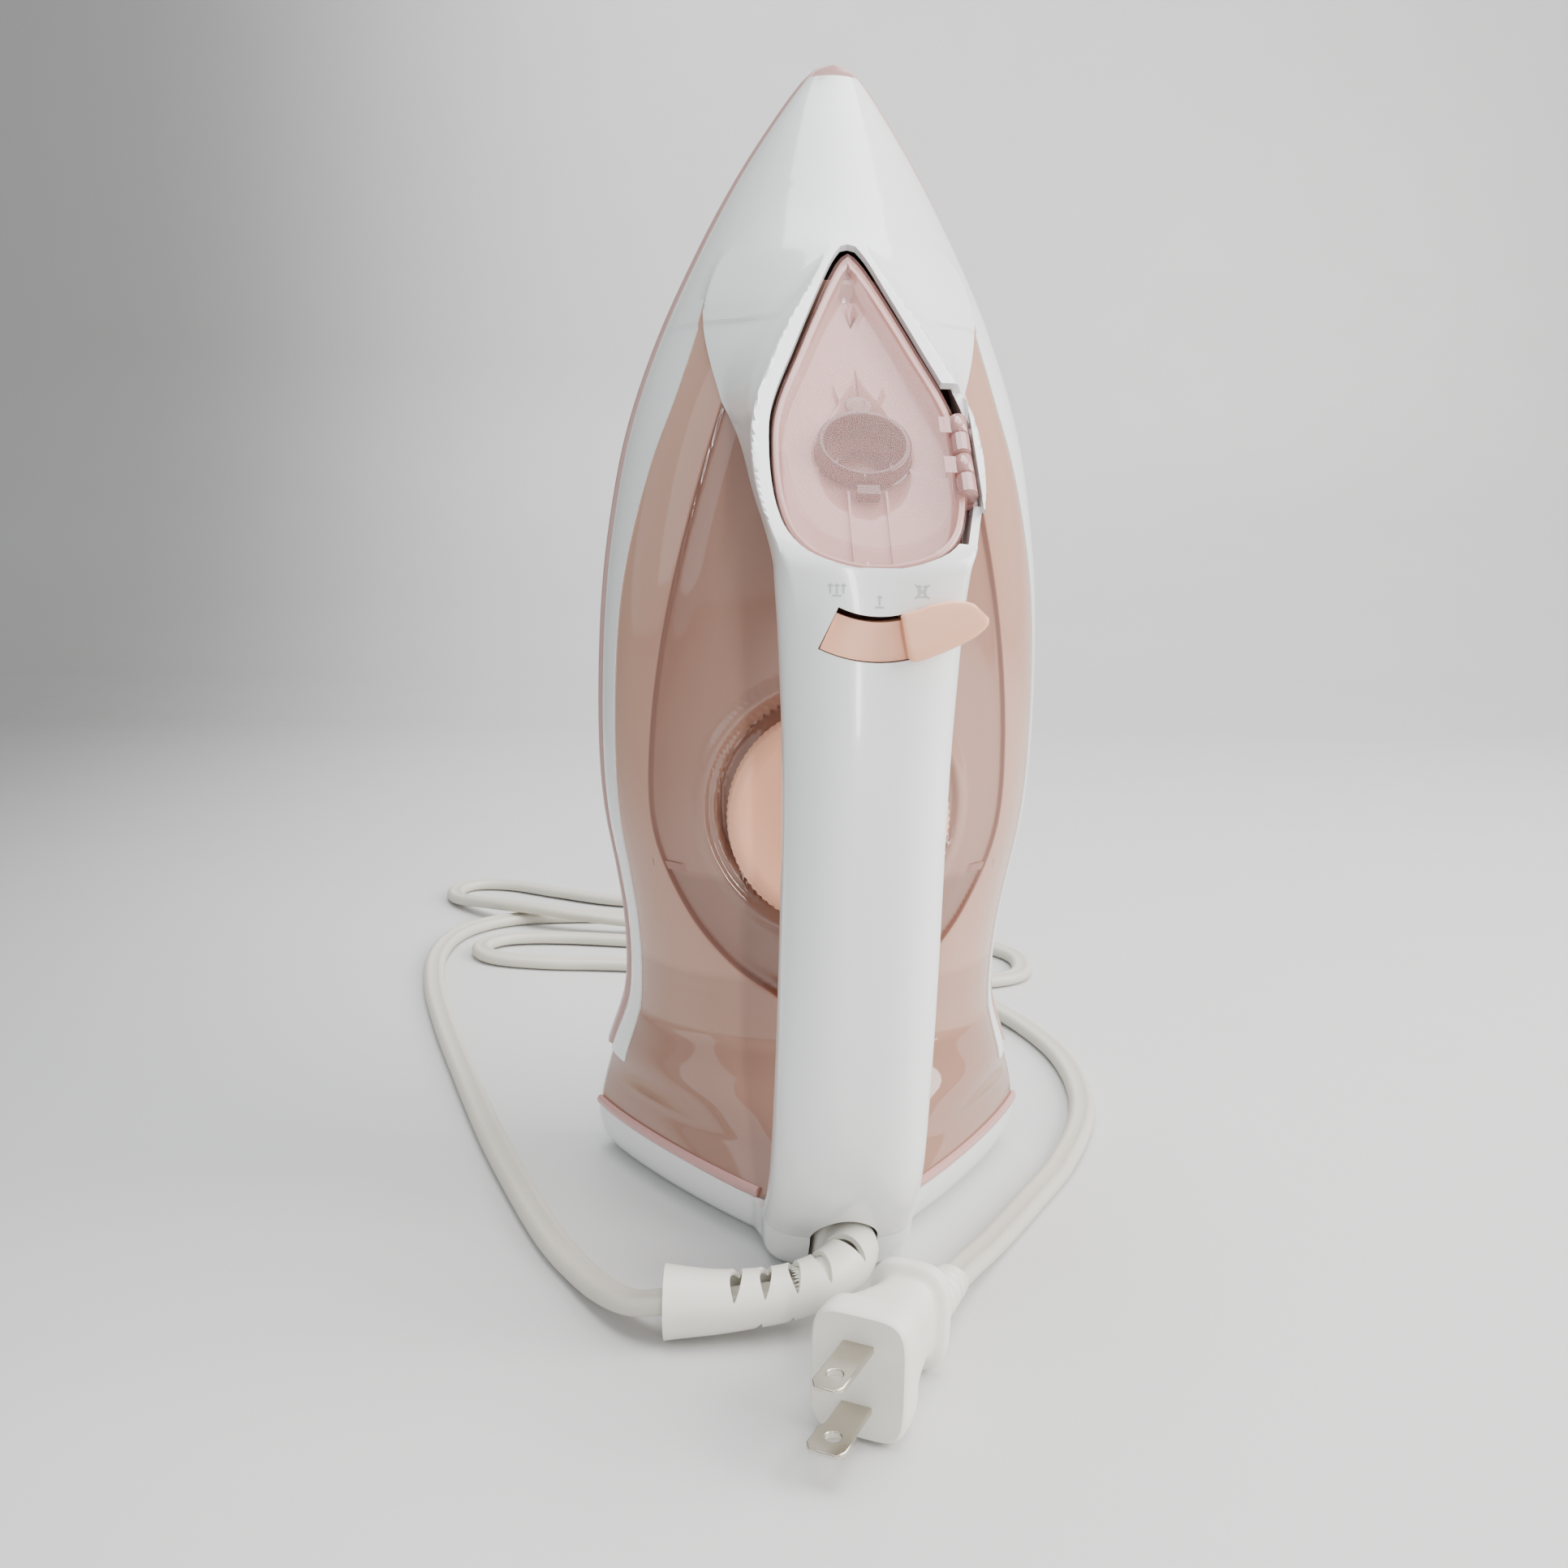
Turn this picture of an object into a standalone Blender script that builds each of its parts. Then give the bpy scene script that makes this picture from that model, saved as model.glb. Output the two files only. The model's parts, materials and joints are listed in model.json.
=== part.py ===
"""A household steam iron standing on its heel: soleplate and heater, tank, handle, lid, lever, dial, cord and plug.

Metres, +Z up.  Z runs from the heel to the tip, +Y is the side of the soleplate, X is the width.
A depth is measured from the face of the soleplate towards the handle, so y = SOLE_Y - depth.
"""

import math

import bmesh
import bpy
from mathutils import Matrix, Vector

# Overall sizes
LENGTH = 0.289          # heel to tip
HALF_WIDTH = 0.060      # at the heel, the widest place
DEPTH = 0.1280          # sole face to the front of the steam lever
SOLE_Y = DEPTH / 2
GAP = 0.0003            # between pieces that touch
PLAY = 0.0006           # between pieces that move on each other

# Walls and thicknesses
WALL = 0.0022
SOLE_THICK = 0.0050
SKIRT_TOP = 0.0130      # depth where the skirt ends and the housing starts
STRIP_TOP = 0.0205      # depth of the flank strips' inner edge
SOLE_START = 0.020      # height of the soleplate's back edge
SOLE_INSET = 0.0030     # soleplate inside the skirt's outline

# Handle
HANDLE_DEPTH = 0.1250   # top of the handle at its middle
HANDLE_HALF = 0.0164
HANDLE_THICK = 0.0300   # cover and underside together
COVER_SIDE = 0.0150     # how far the cover comes down the sides
HEEL_TOP = 0.0130       # height of the heel cover

# Filler lid, in the sloping plane of the neck
SLOPE_LOW = (0.1670, 0.1240)    # height and depth of the slope's lower end
SLOPE_HIGH = (0.2370, 0.0540)   # and of its upper end
LID_THICK = 0.0018
LID_RIM = 0.0050
TRAY_DROP = 0.0065      # tray below the slope
MOUTH_AT = 0.0380       # mouth centre along the slope
MOUTH_RADIUS = 0.0095
MOUTH_WALL = 0.0016
HINGE_X = 0.0200
HINGE_AT = 0.0320       # hinge middle along the slope
HINGE_LONG = 0.0240
PIN_RADIUS = 0.0010
KNUCKLE_RADIUS = 0.0021

# Steam lever
PIVOT_Z = 0.1765
LEVER_RADIUS = 0.0240   # middle of the slot
SLOT_HALF = 0.0047
SLOT_ANGLE = 23.0       # each side of the middle
NECK_GAP = 0.0016       # part of the slot that the lever's neck runs in
LEVER_SWEEP = 38.0
STEM_LIFT = 0.0030

# Temperature dial
DIAL_Z = 0.1050
DIAL_RADIUS = 0.0265
DIAL_DEPTH = 0.0640     # underside of the dial
DIAL_THICK = 0.0085
COLLAR_WALL = 0.0020
SPINDLE_RADIUS = 0.0030

# Cord
CORD_WIDTH = 0.0062
GUARD_RADIUS = 0.0057
GUARD_FLARE = 0.0080
GUARD_WALL = 0.0013

PLAN = (  # share of the length, share of the half width, along the outline of the skirt
    (0.000, 0.950), (0.042, 1.000), (0.100, 0.945), (0.150, 0.868), (0.190, 0.857),
    (0.235, 0.873), (0.280, 0.910), (0.330, 0.958), (0.380, 0.982), (0.450, 0.988),
    (0.530, 0.975), (0.600, 0.940), (0.680, 0.868), (0.760, 0.740), (0.840, 0.565),
    (0.900, 0.410), (0.950, 0.255), (0.985, 0.130), (1.000, 0.050),
)
DOME = (  # share of the length, depth of the tank's top at its middle
    (0.042, 0.0960), (0.070, 0.0860), (0.100, 0.0720), (0.130, 0.0610), (0.165, 0.0560),
    (0.250, 0.0560), (0.400, 0.0580), (0.560, 0.0600), (0.700, 0.0600), (0.780, 0.0570),
)
FULLNESS = (  # share of the length, exponent of the tank's section: 2 is an ellipse, less is a blunt V
    (0.042, 1.20), (0.075, 1.35), (0.110, 1.75), (0.150, 2.30), (0.250, 2.60), (0.600, 2.60), (0.780, 2.20),
)
NOSE = (  # share of the length, depth of the nose's top at its middle
    (0.755, 0.0590), (0.790, 0.0578), (0.820, 0.0540), (0.860, 0.0440), (0.900, 0.0350),
    (0.940, 0.0262), (0.975, 0.0185), (0.997, 0.0148),
)
HANDLE = (  # height share, depth of the handle's top
    (0.042, 0.0980), (0.070, 0.1060), (0.110, 0.1135), (0.160, 0.1180), (0.250, 0.1225),
    (0.380, 0.1250), (0.480, 0.1255), (0.570, 0.1245),
)
HANDLE_WIDE = (  # height share, addition to the handle's half width
    (0.042, 0.0012), (0.090, 0.0004), (0.350, 0.0000), (0.450, 0.0008), (0.520, 0.0022), (0.590, 0.0036),
)
NECK_WIDE = (  # height share, half width of the neck's foot
    (0.575, 0.0200), (0.620, 0.0216), (0.657, 0.0246), (0.700, 0.0286), (0.754, 0.0320), (0.790, 0.0310),
    (0.830, 0.0270),
)
NECK_TOP = (  # height share, half width of the neck at the slope
    (0.575, 0.0199), (0.605, 0.0214), (0.640, 0.0232), (0.680, 0.0228), (0.720, 0.0188), (0.760, 0.0132),
    (0.800, 0.0078), (0.820, 0.0045),
)
LID = (  # share of the lid's length from its lower end, half width
    (0.000, 0.0040), (0.012, 0.0085), (0.040, 0.0136), (0.090, 0.0172), (0.150, 0.0190), (0.230, 0.0200),
    (0.330, 0.0202), (0.430, 0.0196), (0.520, 0.0176), (0.640, 0.0138), (0.760, 0.0100), (0.880, 0.0060),
    (0.960, 0.0030), (1.000, 0.0008),
)


# ---------------------------------------------------------------- small tools
def along(share):
    return share * LENGTH


def smooth(table, x):
    """A smooth curve through the table's points, level beyond its ends."""
    if x <= table[0][0]:
        return table[0][1]
    if x >= table[-1][0]:
        return table[-1][1]
    i = max(k for k in range(len(table) - 1) if table[k][0] <= x)
    (x0, y0), (x1, y1) = table[i], table[i + 1]
    before = table[i - 1] if i else table[0]
    after = table[i + 2] if i + 2 < len(table) else table[-1]
    span = x1 - x0
    slope0 = (y1 - before[1]) / (x1 - before[0])
    slope1 = (after[1] - y0) / (after[0] - x0)
    t = (x - x0) / span
    return (
        y0 * (2 * t**3 - 3 * t**2 + 1) + slope0 * span * (t**3 - 2 * t**2 + t)
        + y1 * (3 * t**2 - 2 * t**3) + slope1 * span * (t**3 - t**2)
    )


def half_width(z):
    return HALF_WIDTH * smooth(PLAN, z / LENGTH)


def dome_top(z):
    return smooth(DOME, z / LENGTH)


def handle_top(z):
    return smooth(HANDLE, z / LENGTH) + HANDLE_DEPTH - 0.1250


def handle_half(z):
    return HANDLE_HALF + smooth(HANDLE_WIDE, z / LENGTH)


def steps(low, high, count):
    return [low + (high - low) * i / (count - 1) for i in range(count)]


def material(name, colour, roughness, metallic=0.0):
    m = bpy.data.materials.new(name)
    m.use_nodes = True
    m.diffuse_color = (*colour, 1)
    surface = m.node_tree.nodes["Principled BSDF"]
    surface.inputs["Base Color"].default_value = (*colour, 1)
    surface.inputs["Roughness"].default_value = roughness
    surface.inputs["Metallic"].default_value = metallic
    return m


def make(name, bm, mat):
    """An object from a bmesh, with its faces turned outwards."""
    bmesh.ops.remove_doubles(bm, verts=bm.verts, dist=0.000001)
    bmesh.ops.recalc_face_normals(bm, faces=bm.faces)
    mesh = bpy.data.meshes.new(name)
    bm.to_mesh(mesh)
    bm.free()
    mesh.materials.append(mat)
    mesh.shade_smooth()
    mesh.set_sharp_from_angle(angle=math.radians(35))
    obj = bpy.data.objects.new(name, mesh)
    bpy.context.collection.objects.link(obj)
    return obj


def loft_mesh(rings, closed=False):
    """A solid through rings of points. Closed joins the last ring to the first, as on a hoop."""
    bm = bmesh.new()
    made = [[bm.verts.new(p) for p in ring] for ring in rings]
    pairs = list(zip(made, made[1:]))
    if closed:
        pairs.append((made[-1], made[0]))
    for a, b in pairs:
        for i in range(len(a)):
            j = (i + 1) % len(a)
            bm.faces.new((a[i], a[j], b[j], b[i]))
    if not closed:
        bm.faces.new(made[0])
        bm.faces.new(made[-1])
    return bm


def loft(name, rings, mat, closed=False):
    return make(name, loft_mesh(rings, closed), mat)


def guide(obj):
    """Marks an object as a cutter, which isn't part of the iron."""
    obj.hide_render = True
    obj.display_type = "WIRE"
    return obj


def combine(obj, other, operation):
    """Cuts or joins by a Boolean, and applies it."""
    modifier = obj.modifiers.new(operation, "BOOLEAN")
    modifier.operation = operation
    modifier.object = other
    bpy.context.view_layer.update()
    done = bpy.data.meshes.new_from_object(obj.evaluated_get(bpy.context.evaluated_depsgraph_get()))
    obj.modifiers.clear()
    obj.data = done
    bpy.data.objects.remove(other)
    return obj


def cut(obj, cutter):
    return combine(obj, guide(cutter), "DIFFERENCE")


def join(obj, other):
    return combine(obj, other, "UNION")


def disc(centre, axis, radius, count=16, other=None, turn=0.0):
    """The points of a circle round an axis, or of an ellipse with another radius."""
    axis = Vector(axis).normalized()
    side = axis.orthogonal().normalized()
    up = axis.cross(side)
    return [
        Vector(centre) + side * radius * math.cos(turn + 2 * math.pi * i / count)
        + up * (other or radius) * math.sin(turn + 2 * math.pi * i / count)
        for i in range(count)
    ]


def turned(name, start, axis, profile, mat, count=24):
    """A solid turned round an axis, from (distance along, radius) points; its ends are flat."""
    axis = Vector(axis).normalized()
    return loft(name, [disc(Vector(start) + axis * d, axis, r, count) for d, r in profile], mat)


def ring_solid(name, start, axis, profile, mat, count=24):
    """A hoop turned round an axis from a closed profile of (distance along, radius) points."""
    axis = Vector(axis).normalized()
    return loft(name, [disc(Vector(start) + axis * d, axis, r, count) for d, r in profile], mat, closed=True)


def block(name, low, high, mat):
    """A box whose corners are given, its long edges broken."""
    low, high = Vector(low), Vector(high)
    bm = bmesh.new()
    bmesh.ops.create_cube(bm, size=1, matrix=Matrix.Translation((low + high) / 2) @ Matrix.Diagonal((*(high - low), 1)))
    return make(name, bm, mat)


def at(x, depth, z):
    return Vector((x, SOLE_Y - depth, z))


# ---------------------------------------------------------------- sections
def channel(sections_out, sections_in):
    """Rings for an open shell: over the outside and back along the inside."""
    return [out + back[::-1] for out, back in zip(sections_out, sections_in)]


def slope_point(x, t, lift=0.0):
    """A place on the neck's slope: x across, t up along it, lift out of it."""
    (z0, d0), (z1, d1) = SLOPE_LOW, SLOPE_HIGH
    long = math.hypot(z1 - z0, d1 - d0)
    dz, dd = (z1 - z0) / long, (d1 - d0) / long
    return at(x, d0 + dd * t + dz * lift, z0 + dz * t - dd * lift)


SLOPE_LONG = math.hypot(SLOPE_HIGH[0] - SLOPE_LOW[0], SLOPE_HIGH[1] - SLOPE_LOW[1])
SLOPE_OUT = (slope_point(0, 0, 1) - slope_point(0, 0, 0)).normalized()
SLOPE_UP = (slope_point(0, 1) - slope_point(0, 0)).normalized()


def lid_outline(inset, lift):
    """The lid's outline in the slope, counted round from its lower end."""
    right = []
    for share, wide in LID:
        t = inset + share * (SLOPE_LONG - inset * 3.2)
        right.append((max(wide - inset, 0.0003), t))
    ring = right + [(-x, t) for x, t in reversed(right)]
    return [slope_point(x, t, lift) for x, t in ring]


# ---------------------------------------------------------------- colours
def finishes():
    return {
        "white": material("white_plastic", (0.86, 0.87, 0.86), 0.22),
        "rose": material("rose_clear_plastic", (0.50, 0.27, 0.21), 0.12),
        "lid": material("pink_clear_plastic", (0.76, 0.50, 0.47), 0.10),
        "mauve": material("mauve_plastic", (0.42, 0.25, 0.26), 0.35),
        "peach": material("peach_plastic", (0.93, 0.50, 0.34), 0.35),
        "ivory": material("ivory_rubber", (0.78, 0.76, 0.69), 0.45),
        "cream": material("cream_cord", (0.72, 0.69, 0.58), 0.50),
        "alloy": material("cast_aluminium", (0.70, 0.70, 0.70), 0.35, 1.0),
        "steel": material("zinc_steel", (0.62, 0.61, 0.58), 0.35, 1.0),
        "nickel": material("nickel_brass", (0.60, 0.55, 0.47), 0.30, 1.0),
        "dark": material("phenolic", (0.05, 0.045, 0.04), 0.55),
        "red": material("red_sleeve", (0.45, 0.10, 0.07), 0.60),
    }


# ---------------------------------------------------------------- sole and heater
def end_of(inset):
    """The height at which the plan has narrowed to the inset."""
    low, high = along(0.5), LENGTH
    for _ in range(40):
        middle = (low + high) / 2
        if half_width(middle) - inset > 0.0010:
            low = middle
        else:
            high = middle
    return low


def outline(inset, start, end, depth, count=17):
    """A closed outline inside the plan, at a depth: up the right side and down the left."""
    stations = [start + (end - start) * math.sin(a) for a in steps(0, math.pi / 2, count)]
    right = [(max(half_width(z) - inset, 0.0006), z) for z in stations]
    return [at(x, depth, z) for x, z in right] + [at(-x, depth, z) for x, z in reversed(right)]


def soleplate(f):
    end = end_of(SOLE_INSET)
    plate = loft("soleplate", [
        outline(SOLE_INSET + 0.0012, SOLE_START + 0.0010, end_of(SOLE_INSET + 0.0012), 0.0),
        outline(SOLE_INSET, SOLE_START, end, 0.0012),
        outline(SOLE_INSET, SOLE_START, end, SOLE_THICK),
    ], f["alloy"])
    spots = [(0.0, end - 0.030)]
    for i in range(1, 5):
        z = end - 0.030 - i * 0.021
        x = half_width(z) - SOLE_INSET - 0.0105
        spots += [(x, z), (-x, z)]
    for x, z in spots:
        cut(plate, turned("vent", at(x, -0.001, z), (0, -1, 0), [(0, 0.0014), (SOLE_THICK + 0.002, 0.0014)],
                          f["dark"], 8))
    return plate


def sole_skirt(f):
    outer, inner = 0.0, SOLE_INSET - 0.0004
    start = SOLE_START - 0.0030
    rings = []
    for inset, first, depth in (
        (outer + 0.0008, start, SOLE_THICK * 0.35), (outer, start, SOLE_THICK * 0.7),
        (outer, start, SKIRT_TOP - GAP), (SOLE_INSET + 0.0014, start + 0.0044, SKIRT_TOP - GAP),
        (inner, start + 0.0026, SOLE_THICK + 0.0010), (inner, start + 0.0026, SOLE_THICK * 0.35),
    ):
        rings.append(outline(inset, first if first > start else start, end_of(inset), depth))
    return loft("sole_skirt", rings, f["mauve"], closed=True)


def element_route(inset, low, high, depth, count=15):
    """A U along the plan, open towards the heel."""
    right = [(half_width(z) - inset, z) for z in steps(low, high, count)]
    radius = right[-1][0]
    bend = [(radius * math.cos(a), high + radius * math.sin(a)) for a in steps(0, math.pi, 9)[1:-1]]
    left = [(-x, z) for x, z in reversed(right)]
    return [at(x, depth, z) for x, z in right + bend + left]


def tube(name, points, radius, mat, resolution=2):
    """A round wire or cord along points, with closed ends."""
    curve = bpy.data.curves.new(name, "CURVE")
    curve.dimensions = "3D"
    curve.bevel_depth = radius
    curve.bevel_resolution = resolution
    curve.use_fill_caps = True
    line = curve.splines.new("POLY")
    line.points.add(len(points) - 1)
    for point, place in zip(line.points, points):
        point.co = (*place, 1)
    curve.materials.append(mat)
    obj = bpy.data.objects.new(name, curve)
    bpy.context.collection.objects.link(obj)
    return obj


ELEMENT_RADIUS = 0.0032
ELEMENT_DEPTH = SOLE_THICK + GAP + ELEMENT_RADIUS
ELEMENT_INSET = 0.0185
ELEMENT_LOW = 0.0480


def heater(f):
    tube("heating_element", element_route(ELEMENT_INSET, ELEMENT_LOW, along(0.72), ELEMENT_DEPTH),
         ELEMENT_RADIUS, f["steel"])
    x = half_width(ELEMENT_LOW) - ELEMENT_INSET
    for side, name in ((1, "element_terminal_right"), (-1, "element_terminal_left")):
        turned(name, at(side * x, ELEMENT_DEPTH, ELEMENT_LOW - GAP), (0, 0, -1),
               [(0, 0.0022), (0.0040, 0.0022), (0.0041, 0.0012), (0.0100, 0.0012)], f["steel"], 10)
    low, high = along(0.430), along(0.700)
    loft("steam_chamber_cover", [
        outline(0.0260, low, high, SOLE_THICK + GAP, 9),
        outline(0.0260, low, high, SOLE_THICK + 0.0018, 9),
        outline(0.0285, low + 0.002, high - 0.002, SOLE_THICK + 0.0034, 9),
    ], f["steel"])
    turned("thermal_fuse", at(-0.008, SOLE_THICK + GAP + 0.0024, along(0.245)), (1, 0, 0),
           [(0, 0.0010), (0.0005, 0.0024), (0.0155, 0.0024), (0.0160, 0.0010)], f["steel"], 10)
    thermostat = block("thermostat", at(-0.0080, SOLE_THICK + GAP, DIAL_Z - 0.010),
                       at(0.0080, SOLE_THICK + 0.0070, DIAL_Z + 0.010), f["steel"])
    join(thermostat, turned("bush", at(0, SOLE_THICK + 0.0060, DIAL_Z), (0, -1, 0), [(0, 0.0040), (0.0120, 0.0040)],
                            f["steel"], 12))


SHIELD_DEPTH = SKIRT_TOP + 0.0006
SHIELD_THICK = 0.0020
SHIELD_START = 0.0560
SHIELD_END = 0.2560
SCREW_SPOTS = ((0.0000, 0.860), (0.0230, 0.300), (-0.0230, 0.300))


def heat_shield(f):
    inset = WALL + 0.0012
    plate = loft("heat_shield", [
        outline(inset, SHIELD_START, SHIELD_END, SHIELD_DEPTH, 13),
        outline(inset, SHIELD_START, SHIELD_END, SHIELD_DEPTH + SHIELD_THICK, 13),
    ], f["dark"])
    holes = [(0.0, DIAL_Z, 0.0050), (0.0, PIVOT_Z, 0.0040)]
    holes += [(x, along(z), 0.0019) for x, z in SCREW_SPOTS]
    for x, z, radius in holes:
        cut(plate, turned("hole", at(x, SHIELD_DEPTH - 0.001, z), (0, -1, 0),
                          [(0, radius), (SHIELD_THICK + 0.002, radius)], f["dark"], 12))
    for i, (x, z) in enumerate(SCREW_SPOTS):
        turned(f"sole_screw_{i + 1}", at(x, SOLE_THICK + GAP + 0.0036 * (i == 0), along(z)), (0, -1, 0), [
            (0, 0.0015), (SHIELD_DEPTH + SHIELD_THICK + GAP - SOLE_THICK - GAP - 0.0036 * (i == 0), 0.0015),
            (SHIELD_DEPTH + SHIELD_THICK + GAP - SOLE_THICK - GAP - 0.0036 * (i == 0) + 0.00001, 0.0030),
            (SHIELD_DEPTH + SHIELD_THICK + GAP - SOLE_THICK - 0.0036 * (i == 0) + 0.0012, 0.0027),
        ], f["steel"], 12)


# ---------------------------------------------------------------- housing and tank
SPLIT = 0.7605          # share of the length where the nose starts above the tank
EDGE = (  # share of the length, depth of the line between the white strips and the tank
    (0.042, 0.0205), (0.450, 0.0205), (0.530, 0.0220), (0.600, 0.0265), (0.655, 0.0330),
    (0.700, 0.0410), (0.735, 0.0470), (0.7605, 0.0530),
)


def section_top(z):
    share = z / LENGTH
    if share < 0.765:
        return smooth(DOME, share)
    return smooth(NOSE, share)


def power_at(z):
    share = z / LENGTH
    if share < 0.6:
        return smooth(FULLNESS, share)
    return 2.6 - 0.8 * min((share - 0.6) / 0.3, 1)


def body_point(z, a, inset):
    """A place on the body's skin at a height; the angle goes from 0 on the right to pi on the left."""
    power = power_at(z)
    wide, top = max(half_width(z) - inset, 0.0008), max(section_top(z) - inset, SKIRT_TOP + 0.0006)
    c, s = math.cos(a), abs(math.sin(a))
    x = math.copysign(abs(c) ** (2 / power), c) * wide
    return at(x, SKIRT_TOP + (top - SKIRT_TOP) * s ** (2 / max(power * 0.85, 1.15)), z)


def angle_of_depth(z, depth):
    power, top = power_at(z), section_top(z)
    share = min(max((depth - SKIRT_TOP) / (top - SKIRT_TOP), 0.0), 1.0)
    return math.asin(share ** (max(power * 0.85, 1.15) / 2))


def skin_depth(z, x):
    """Depth of the body's skin at a place across it."""
    power, wide, top = power_at(z), half_width(z), section_top(z)
    c = min((abs(x) / wide) ** (power / 2), 1.0)
    s = math.sqrt(1 - c * c)
    return SKIRT_TOP + (top - SKIRT_TOP) * s ** (2 / max(power * 0.85, 1.15))


STRIP_COUNT = 4         # faces round each strip
ARCH_COUNT = 14         # faces over the arch between the strips


def nose_and_strips(mat):
    """The white nose with the strips that run down both flanks, as one shell."""
    bm = bmesh.new()
    split = along(SPLIT)
    low = [along(s) for s in (0.100, 0.125, 0.15, 0.19, 0.235, 0.28, 0.33, 0.40, 0.48, 0.55, 0.61, 0.66, 0.70, 0.735)]
    high = [along(s) for s in (0.80, 0.84, 0.875, 0.91, 0.94, 0.965, 0.985, 0.997)]

    def angles(z):
        edge = angle_of_depth(z, smooth(EDGE, min(z, split) / LENGTH))
        first = steps(math.pi, math.pi - edge, STRIP_COUNT + 1)
        over = steps(math.pi - edge, edge, ARCH_COUNT + 1)[1:]
        return first + over + steps(edge, 0, STRIP_COUNT + 1)[1:]

    def verts(z, chosen):
        spread = angles(z)
        return {
            k: (bm.verts.new(body_point(z, spread[k], 0)), bm.verts.new(body_point(z, spread[k], WALL)))
            for k in chosen
        }

    last = 2 * STRIP_COUNT + ARCH_COUNT
    left, right = range(STRIP_COUNT + 1), range(last - STRIP_COUNT, last + 1)
    rows = [verts(z, [*left, *right]) for z in low] + [verts(z, range(last + 1)) for z in [split, *high]]

    def wall(a, b, keys, closed_edges):
        for k in list(keys)[:-1]:
            bm.faces.new((a[k][0], a[k + 1][0], b[k + 1][0], b[k][0]))
            bm.faces.new((a[k][1], b[k][1], b[k + 1][1], a[k + 1][1]))
        for k in closed_edges:
            bm.faces.new((a[k][0], b[k][0], b[k][1], a[k][1]))

    def cap(row, keys):
        for k in list(keys)[:-1]:
            bm.faces.new((row[k][0], row[k + 1][0], row[k + 1][1], row[k][1]))

    for a, b in zip(rows[: len(low)], rows[1: len(low) + 1]):
        for keys in (left, right):
            wall(a, b, keys, (keys[0], keys[-1]))
    for a, b in zip(rows[len(low):], rows[len(low) + 1:]):
        wall(a, b, range(last + 1), (0, last))
    cap(rows[0], left)
    cap(rows[0], right)
    cap(rows[len(low)], range(STRIP_COUNT, last - STRIP_COUNT + 1))
    cap(rows[-1], range(last + 1))
    return make("upper_housing", bm, mat)


def arch(x, low, top, z, count=13, round_x=0.62, round_d=0.80):
    """Points over a blunt arch, from its left foot to its right foot."""
    points = []
    for a in steps(math.pi, 0, count):
        c, s = math.cos(a), math.sin(a)
        points.append(at(math.copysign(abs(c) ** round_x, c) * x, low + (top - low) * abs(s) ** round_d, z))
    return points


def slope_depth(z):
    (z0, d0), (z1, d1) = SLOPE_LOW, SLOPE_HIGH
    return min(d0 + (z - z0) * (d1 - d0) / (z1 - z0), handle_top(z))


def neck_ring(z, inset, drop):
    """The neck's section: flanks that sweep in from the foot, and a flat top."""
    share = z / LENGTH
    foot_half, top_half = smooth(NECK_WIDE, share) - inset * 1.2, smooth(NECK_TOP, share) - inset
    foot = skin_depth(z, smooth(NECK_WIDE, share)) - drop
    top = slope_depth(z) - inset * 1.35
    right = []
    for u in (0.0, 0.12, 0.28, 0.48, 0.70, 0.88, 0.96):
        right.append((top_half + (foot_half - top_half) * (1 - u) ** 1.6, foot + (top - foot) * u))
    right += [(top_half * 0.92, top), (top_half * 0.5, top)]
    return [at(-x, d, z) for x, d in right] + [at(0, top, z)] + [at(x, d, z) for x, d in reversed(right)]


def neck(mat):
    """The hollow neck that carries the lid, standing on the tank and growing into the nose."""
    shares = (0.5755, 0.60, 0.64, 0.68, 0.72, 0.75, 0.7605, 0.775, 0.795, 0.812)
    body = loft("neck", [neck_ring(along(share), 0.0, 0.0012) for share in shares], mat)
    room = loft("neck_room", [neck_ring(along(share), WALL, 0.0100) for share in (0.57, *shares[1:6], 0.757)], mat)
    cut(body, room)
    under = []
    for share in (0.56, 0.61, 0.66, 0.70, 0.735, SPLIT):
        under.append([body_point(along(share), a, -GAP * 2) for a in steps(math.pi, 0, 31)])
    cut(body, loft("tank_room", under, mat))
    return body


def lid_opening(f):
    """Room for the lid and the tray under it."""
    return loft("lid_opening", [lid_outline(-PLAY, -TRAY_DROP - 0.0018), lid_outline(-PLAY, 0.0100)], f["white"])


def upper_housing(f):
    housing = nose_and_strips(f["white"])
    join(housing, neck(f["white"]))
    cut(housing, lid_opening(f))
    cut(housing, hinge_box(f))
    cut(housing, slope_block("swing_room", (0.0160, HINGE_X + 0.0020), (0.0060, 0.0540), (-0.0026, 0.0060), f["white"]))
    return housing


def hinge_box(f):
    """Room for the hinge at the lid's right edge."""
    low, high = HINGE_AT - HINGE_LONG / 2 - PLAY, HINGE_AT + HINGE_LONG / 2 + PLAY
    reach = KNUCKLE_RADIUS + PLAY
    corners = [(HINGE_X - reach - 0.002, -0.0050), (HINGE_X + reach, -0.0050),
               (HINGE_X + reach, 0.0040), (HINGE_X - reach - 0.002, 0.0040)]
    return loft("hinge_room", [[slope_point(x, t, lift) for x, lift in corners] for t in (low, high)], f["white"])


TANK_START = HEEL_TOP + GAP


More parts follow.
